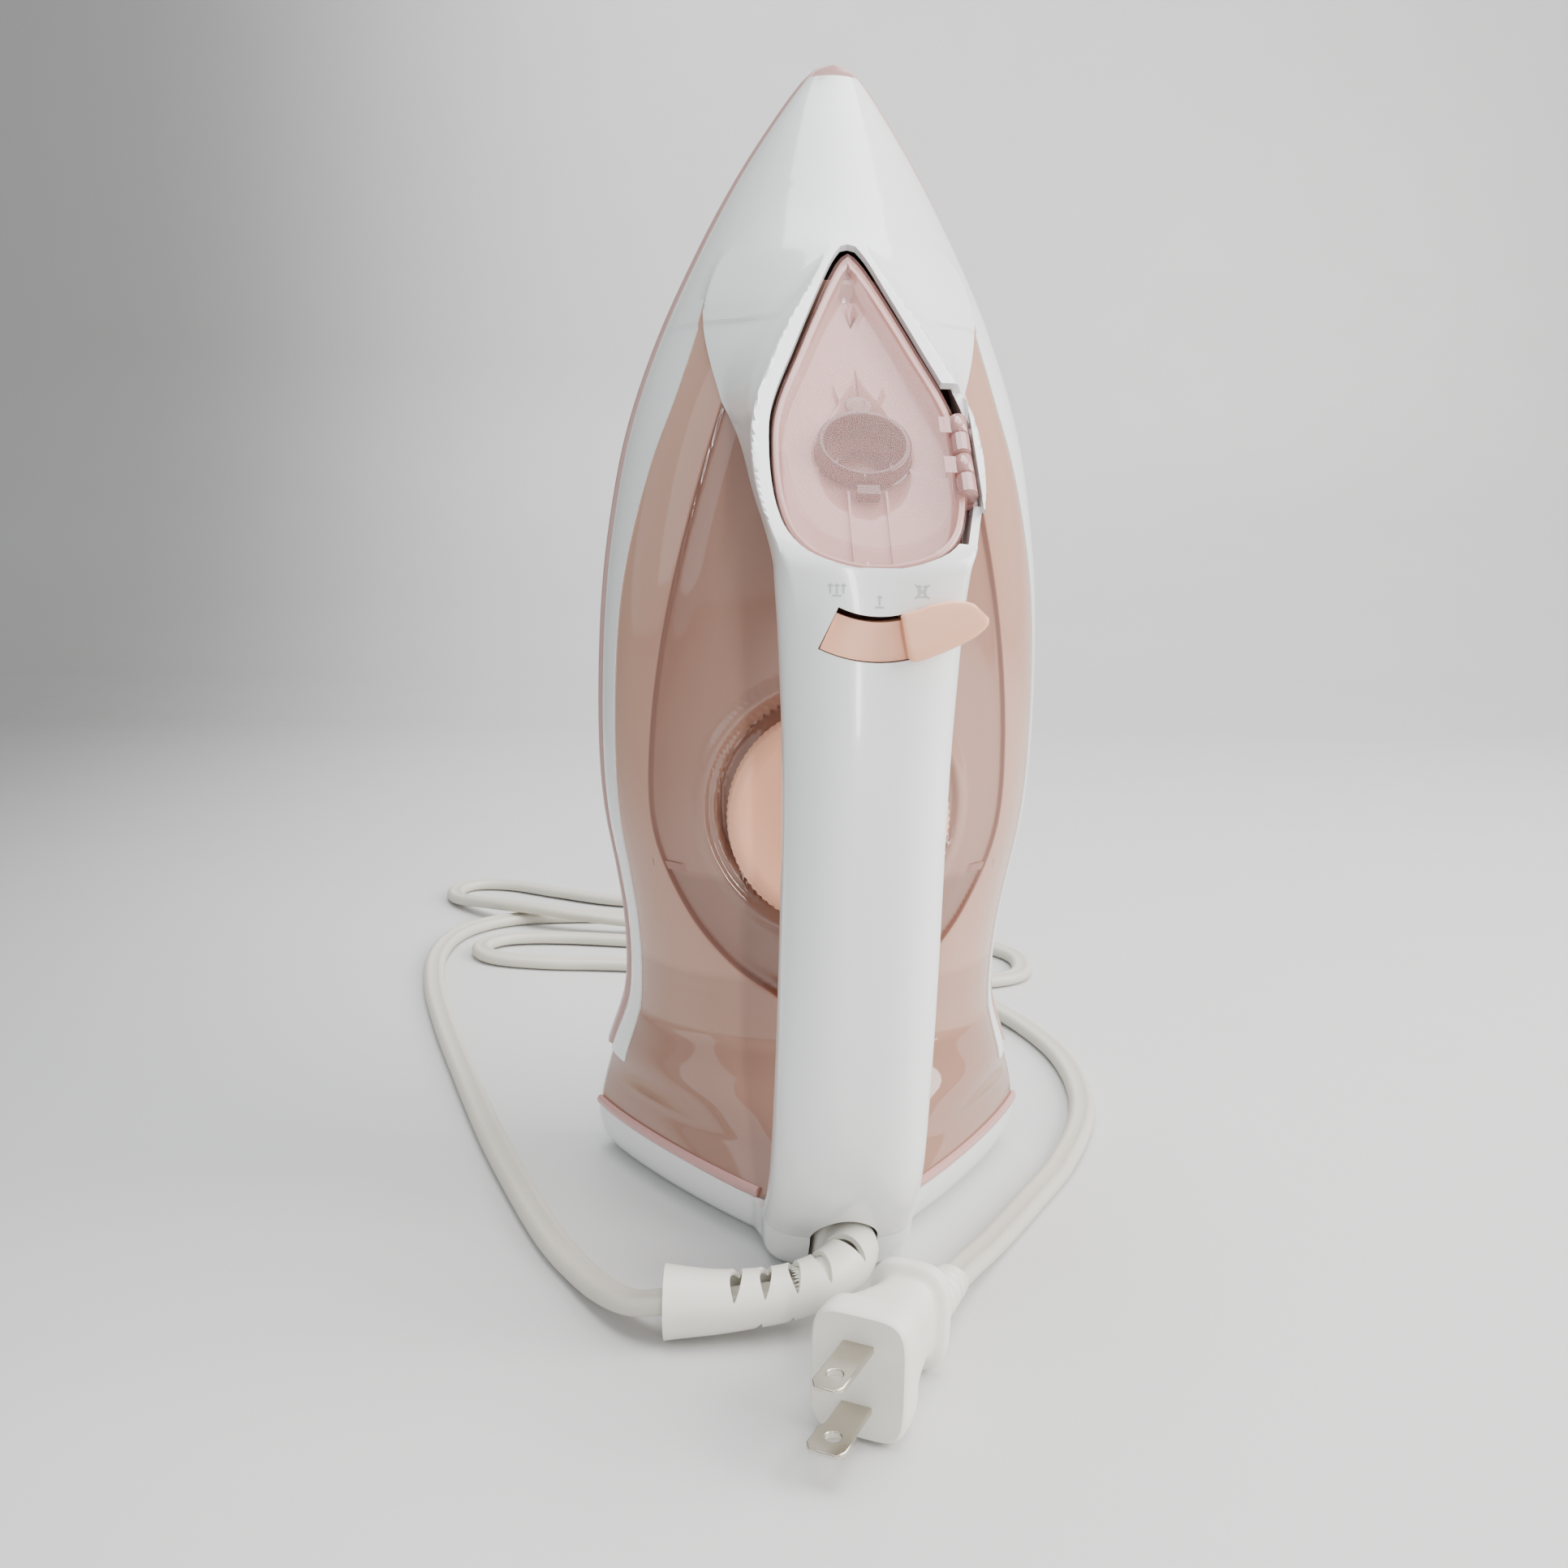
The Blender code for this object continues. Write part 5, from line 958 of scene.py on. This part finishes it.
# ---------------------------------------------------------------- skirt and soleplate
# A mauve rim goes all round the iron between the white parts and the metal; it stands a little proud and its
# edge is rounded. The soleplate is cast aluminium, ground and polished, with steam holes towards the tip.
def plan_line(inset, low, high, depth, count=70):
    """The iron's outline at a depth: up the right side and down the left."""
    right = [Vector((max(half_width(z) - inset, 0.0), z, 0))
             for z in [low + (high - low) * math.sin(math.pi / 2 * i / 89) for i in range(90)]]
    right = [Vector((0.0, low, 0))] + right + [Vector((0.0, high, 0))]
    half = resample(right, count)
    return [at(p.x, depth, p.y) for p in half + flipped(half[1:-1])]


skirt_rows = [plan_line(inset, 0.0282, end, depth) for inset, end, depth in (
    (0.0030, 0.2862, 0.0034), (0.0008, 0.2884, 0.0034), (0.0001, 0.28895, 0.0045), (0.0000, 0.28898, 0.0080),
    (0.0002, 0.2888, 0.0110), (0.0008, 0.2883, 0.0124), (0.0022, 0.2868, 0.0129), (0.0042, 0.2848, 0.0129))]
mauve = worn(new_material("mauve_rim", (0.52, 0.315, 0.295), 0.30, coat=0.15), 1700, 0.04, 0.06, 0.04)
skirt = skin("sole_rim", skirt_rows, mauve, "housing", close_rows=True, angle=50)
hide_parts("sole_skirt")

alloy = worn(new_material("cast_alloy", (0.66, 0.66, 0.655), 0.24, 1.0), 1100, 0.06, 0.10, 0.05)
sole_rows = [plan_line(0.0048, 0.0220, 0.2846, 0.0034), plan_line(0.0034, 0.0204, 0.2861, 0.0022),
             plan_line(0.0034, 0.0203, 0.2862, 0.0008), plan_line(0.0042, 0.0212, 0.2854, 0.0001)]
sole = skin("sole_metal", sole_rows, alloy, "housing", angle=40)
vents = []
for side in (-1, 1):
    for i in range(7):
        z = 0.150 + 0.016 * i
        x = side * (half_width(z) - 0.0150 - 0.0006 * i)
        vents.append((x, z))
vents += [(0.0, 0.262), (-0.007, 0.200), (0.007, 0.200), (-0.007, 0.225), (0.007, 0.225)]
for x, z in vents:
    drill = [[at(x + 0.0015 * math.cos(t), d, z + 0.0015 * math.sin(t)) for t in turns(18)]
             for d in (-0.001, 0.0030)]
    cut_out(sole, [skin("drill", drill, None, None)])
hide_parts("soleplate")

# ---------------------------------------------------------------- filler
# Under the clear lid lies a pale tray with the round mouth that the water is poured into: a dark red-brown
# collar, a small moulded dimple above it, two straight ribs and a catch below.
tray_pink = worn(clear_rose("tray_pink", (0.66, 0.37, 0.33), 0.05, 0.20), 1500, 0.03, 0.05, 0.03)
MOUTH_AT, MOUTH_RADIUS = 0.0380, 0.0095
tray_rows = [lid_line(inset, lift) for inset, lift in (
    (0.0004, -0.0016), (0.0012, -0.0018), (0.0016, -0.0058), (0.0024, -0.0066), (0.0060, -0.0067))]
tray_rows.append([p.lerp(slope_point(0.0, MOUTH_AT, -0.0067), 0.30) for p in tray_rows[-1]])
hole_radius = MOUTH_RADIUS + 0.0016
tray_rows.append([slope_point(hole_radius * math.sin(t), MOUTH_AT - hole_radius * math.cos(t), -0.0068)
                  for t in turns(len(tray_rows[0]))])
tray = skin("filler_basin", tray_rows, tray_pink, "housing", ends=False, angle=50)
walled(tray, 0.0010, 0)
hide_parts("filler_tray")


def slope_ring(name, t0, profile, material, count=64, closed=True):
    """A ring turned about a line square to the slope, from (radius, lift) points."""
    rows = [[slope_point(r * math.cos(a), t0 + r * math.sin(a), lift) for a in turns(count)] for r, lift in profile]
    return skin(name, rows, material, "housing", close_rows=closed, ends=not closed, angle=50)


mouth_red = worn(clear_rose("mouth_red", (0.070, 0.014, 0.010), 0.0, 0.12), 1500, 0.03, 0.04, 0.04)
mouth = slope_ring("filler_collar", MOUTH_AT, (
    (0.0086, -0.0096), (0.0086, -0.0034), (0.0089, -0.0029), (0.0096, -0.0028), (0.0101, -0.0032), (0.0104, -0.0064),
    (0.0111, -0.0068), (0.0111, -0.0075), (0.0098, -0.0075), (0.0098, -0.0096)), mouth_red)
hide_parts("filler_mouth")
# Painted shade: the well's floor is a dark brown disc standing for the shade down inside the mouth.
painted_mouth_shade = worn(new_material("painted_shade_in_mouth", (0.20, 0.080, 0.065), 0.25), 900, 0.05, 0.05, 0.05)
well = slope_ring("filler_well", MOUTH_AT, ((0.0085, -0.0094), (0.0050, -0.0098), (0.0006, -0.0099)), painted_mouth_shade,
                  closed=False)
step_ring = slope_ring("filler_step", MOUTH_AT - 0.0034, (
    (0.0056, -0.0090), (0.0056, -0.0068), (0.0062, -0.0066), (0.0066, -0.0070), (0.0066, -0.0090)), mouth_red, 44)
dimple_brown = worn(new_material("dimple_brown", (0.36, 0.235, 0.205), 0.32), 1500, 0.04, 0.05, 0.05)
dimple = slope_ring("tray_dimple", 0.0530, (
    (0.0029, -0.0072), (0.0029, -0.0061), (0.0024, -0.0059), (0.0004, -0.0059)), dimple_brown, 36, False)
rib_section = ((-0.00035, -0.0070), (0.00035, -0.0070), (0.000245, -0.0056), (-0.000245, -0.0056))
for name, x in (("tray_rib_left", -0.0040), ("tray_rib_right", 0.0040)):
    skin(name, [[slope_point(x + across, t, lift) for across, lift in rib_section]
                for t in (0.0030, 0.0050, 0.0240, 0.0262)], tray_pink, "housing")
catch_plan = ((-0.0024, 0.0236), (0.0024, 0.0236), (0.0024, 0.0262), (-0.0024, 0.0262))
catch = skin("lid_catch", [[slope_point(x, t, lift) for x, t in catch_plan] for lift in (-0.0068, -0.0042, -0.0038)],
             mouth_red, "housing")

# ---------------------------------------------------------------- filler lid and hinge
# A clear pink lid with a thin rim all round, a soft raised edge and a flat middle. It swings on a steel pin
# through small knuckles at its right edge.
def lid_middle(row, lift, share):
    middle = slope_point(0.0, 0.046, lift)
    return [middle.lerp(p, share) for p in row]


face = [lid_line(*level) for level in (
    (0.0016, -0.0046), (0.0003, -0.0046), (0.0, -0.0040), (0.0, -0.0010), (0.0003, -0.0003), (0.0010, 0.0002),
    (0.0024, 0.0005), (0.0030, 0.0009), (0.0040, 0.0011), (0.0080, 0.0013))]
back = [lid_line(*level) for level in ((0.0080, -0.0001), (0.0034, -0.0002), (0.0020, -0.0008), (0.0017, -0.0020))]
lid = skin("filler_lid_clear", [*face, lid_middle(face[-1], 0.0015, 0.5), lid_middle(face[-1], 0.0016, 0.02),
                                lid_middle(back[0], 0.0002, 0.02), lid_middle(back[0], 0.0001, 0.5), *back],
           None, "lid", close_rows=True, angle=60)
cut_out(lid, [slope_block("hinge_room", (0.0173, 0.030), (0.0194, 0.0446), (-0.009, 0.005), None, None)])
clear_pink = clear_rose("pink_clear", (0.62, 0.30, 0.27), 0.0, 0.05)
clear_pink.node_tree.nodes["Principled BSDF"].inputs["Alpha"].default_value = 0.17
worn(clear_pink, 1500, 0.01, 0.02, 0.02)
lid.data.materials.append(clear_pink)
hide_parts("filler_lid")
HINGE_AT, HINGE_LONG, HINGE_X = 0.0320, 0.0240, 0.0200
hinge_pink = worn(clear_rose("hinge_pink", (0.62, 0.33, 0.30), 0.25, 0.12), 1500, 0.03, 0.04, 0.03)
for i in range(4):
    low = HINGE_AT - HINGE_LONG / 2 + HINGE_LONG / 4 * i + 0.0004
    high = low + HINGE_LONG / 4 - 0.0008
    body, who = ("lid", "lid_knuckle_") if i % 2 else ("housing", "bracket_knuckle_")
    knuckle_rows = [[slope_point(HINGE_X + r * math.cos(a), t, r * math.sin(a) - 0.0010) for a in turns(24)]
                    for t, r in ((low, 0.0016), (low + 0.0003, 0.0020), (high - 0.0003, 0.0020), (high, 0.0016))]
    knuckle = skin(who + str(i), knuckle_rows, hinge_pink, body, angle=60)
    if i % 2:
        arm = slope_block("lid_arm_" + str(i), (0.0158, 0.0198), (low + 0.0002, high - 0.0002), (-0.0015, -0.0001),
                          hinge_pink, "lid")

# ---------------------------------------------------------------- steam lever
# A peach thumb lever for the steam: its tab sticks out over the handle's right side, and a curved band of the
# same satin plastic closes the slot that it swings along.
peach = worn(new_material("peach_plastic", (0.93, 0.47, 0.30), 0.34), 1900, 0.05, 0.05, 0.02)


def cover_depth(x):
    """Depth of the cover beside the lever, at a distance across."""
    c = min(abs(x) / 0.0180, 1.0) ** (1 / 0.62)
    return TOP_DEPTH - COVER_SIDE + COVER_SIDE * math.sqrt(1 - c * c) ** 0.80


track = sector("lever_band", 0.0207, LEVER_RADIUS + SLOT_HALF - 0.0002, -23.7, 23.7, TOP_DEPTH - 0.0060,
               lambda a: cover_depth(LEVER_RADIUS * math.sin(math.radians(a))) - 0.0011, peach, "housing", 48)
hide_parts("lever_track")
REST, NECK = 18.0, 0.0201
tab_shape = ((-6.0, -0.0004, 0.0080, 0.0), (-4.5, -0.0008, 0.0089, 0.0004), (4.0, -0.0008, 0.0090, 0.0006),
             (14.0, -0.0004, 0.0093, 0.0006), (23.0, 0.0012, 0.0098, 0.0005), (28.5, 0.0034, 0.0096, 0.0003),
             (30.0, 0.0046, 0.0088, -0.0002))
tab_section = ((-0.97, 0.0), (0.97, 0.0), (1.0, 0.25), (1.0, 0.62), (0.94, 0.86), (0.80, 0.97), (0.4, 1.0),
               (-0.4, 1.0), (-0.80, 0.97), (-0.94, 0.86), (-1.0, 0.62), (-1.0, 0.25))
tab_rows = []
for i in range(40):
    turn = -6.0 + 36.0 * i / 39
    r0, r1, lift = (smooth(tab_shape, turn, c) for c in (1, 2, 3))
    middle, half = NECK + (r0 + r1) / 2, (r1 - r0) / 2
    hi, lo = 0.1277 + lift * 0.4, 0.1256
    tab_rows.append([round_pivot(middle + half * x, REST + turn, lo + (hi - lo) * d) for x, d in tab_section])
tab = skin("lever_tab", tab_rows, peach, "lever", angle=45)
stem = sector("lever_neck", NECK - 0.0005, NECK + 0.0005, REST - 4, REST + 4, 0.0990, 0.1262, peach, "lever", 8)
arm = sector("lever_arm", 0.0020, NECK + 0.0005, REST - 4, REST + 4, 0.0985, 0.1009, peach, "lever", 8)
boss = skin("lever_boss", [[at(0.0034 * math.cos(a), d, PIVOT_Z + 0.0034 * math.sin(a)) for a in turns(32)]
                           for d in (0.0935, 0.1009)], peach, "lever")
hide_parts("steam_lever")

# ---------------------------------------------------------------- temperature dial
# A flat peach disc under the handle that the thumb turns, its rim finely ribbed for grip and its face edged
# with a soft step; it sits in the tank's clear ring.
dial_rows = []
for d, r, rib in ((0.0610, 0.0256, 0), (0.0613, 0.0264, 0), (0.0622, 0.0267, 0.00035), (0.0680, 0.0267, 0.00035),
                  (0.0690, 0.0262, 0), (0.0695, 0.0252, 0), (0.0695, 0.0222, 0), (0.0691, 0.0216, 0),
                  (0.0691, 0.0080, 0), (0.0691, 0.0006, 0)):
    dial_rows.append([at((r - rib * (k % 2)) * math.cos(a), d, DIAL_Z + (r - rib * (k % 2)) * math.sin(a))
                      for k, a in enumerate(turns(180))])
dial = skin("dial_disc", dial_rows, peach, "dial", angle=50)
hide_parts("temperature_dial")

# ---------------------------------------------------------------- marks by the lever
# Three small grey pad-printed marks above the lever's slot, plain shapes for much steam, some steam and none.
grey_ink = worn(new_material("grey_ink", (0.50, 0.51, 0.52), 0.40), 2600, 0.05, 0.05, 0.05)


def cover_at(x, z):
    """Depth of the white cover at a place over the handle."""
    line = cover_half(z, 60)
    for a, b in zip(line, line[1:]):
        if min(a.x, b.x) - 1e-7 <= abs(x) <= max(a.x, b.x) + 1e-7 and SOLE_Y - b.y > 0.11:
            t = (abs(x) - a.x) / (b.x - a.x) if abs(b.x - a.x) > 1e-9 else 0
            return SOLE_Y - (a.y + (b.y - a.y) * t)
    return handle_top(z)


def print_bar(name, x0, z0, x1, z1, wide):
    """A short printed line that lies on the cover."""
    on = Vector((x1 - x0, 0, z1 - z0)).normalized()
    across = Vector((on.z, 0, -on.x)) * wide / 2
    verts = []
    for i in range(6):
        x, z = x0 + (x1 - x0) * i / 5, z0 + (z1 - z0) * i / 5
        for side in (-1, 1):
            px, pz = x + across.x * side, z + across.z * side
            verts.append(at(px, cover_at(px, pz) + 0.00006, pz))
    mesh = bpy.data.meshes.new(name)
    mesh.from_pydata([tuple(v) for v in verts], [], [(2 * i, 2 * i + 1, 2 * i + 3, 2 * i + 2) for i in range(5)])
    mesh.materials.append(grey_ink)
    obj = bpy.data.objects.new(name, mesh)
    scene.collection.objects.link(obj)
    if mesh.polygons[0].normal.y > 0:
        mesh.flip_normals()
    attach(obj, "housing")


for name, x, z, plumes in (("mark_full", -0.0085, 0.1618, 3), ("mark_some", 0.0, 0.1596, 1),
                           ("mark_none", 0.0085, 0.1618, 2)):
    for k in range(plumes):
        px = x + (k - (plumes - 1) / 2) * 0.0013
        print_bar(f"{name}_plume_{k}", px, z - 0.0004, px, z + 0.0014, 0.00035)
        print_bar(f"{name}_left_{k}", px, z + 0.0015, px - 0.0005, z + 0.0010, 0.0003)
        print_bar(f"{name}_right_{k}", px, z + 0.0015, px + 0.0005, z + 0.0010, 0.0003)
    print_bar(f"{name}_base", x - 0.0009, z - 0.0008, x + 0.0009, z - 0.0008, 0.00035)
print_bar("mark_none_cross_a", 0.0070, 0.1606, 0.0100, 0.1634, 0.0003)
print_bar("mark_none_cross_b", 0.0070, 0.1634, 0.0100, 0.1606, 0.0003)

# ---------------------------------------------------------------- hidden works
# What is inside: heater, steam chamber, thermostat and its spindle, valve, wiring, screws. Each keeps its own
# plain shape and gets the finish of its real stuff: plated steel, phenolic board, silicone sleeve, clear plastic.
steel = worn(new_material("plated_steel", (0.60, 0.59, 0.56), 0.30, 1.0), 1300, 0.08, 0.10, 0.06)
phenolic = worn(new_material("phenolic_board", (0.055, 0.045, 0.04), 0.52), 2200, 0.15, 0.08, 0.10)
sleeve = worn(new_material("red_sleeve", (0.42, 0.09, 0.06), 0.55), 2500, 0.15, 0.06, 0.06)
by_slot = {"white_plastic": white, "rose_clear_plastic": rose_dark, "pink_clear_plastic": hinge_pink,
           "mauve_plastic": mauve, "peach_plastic": peach, "ivory_rubber": ivory, "cream_cord": cream,
           "cast_aluminium": alloy, "zinc_steel": steel, "nickel_brass": nickel, "phenolic": phenolic,
           "red_sleeve": sleeve}
for entry in frame["record"]["subparts"]:
    mesh = frame["nodes"][entry["node"]].data
    finish = by_slot[entry["material_slot"]]
    if not len(mesh.materials):
        mesh.materials.append(finish)
    for i in range(len(mesh.materials)):
        mesh.materials[i] = finish
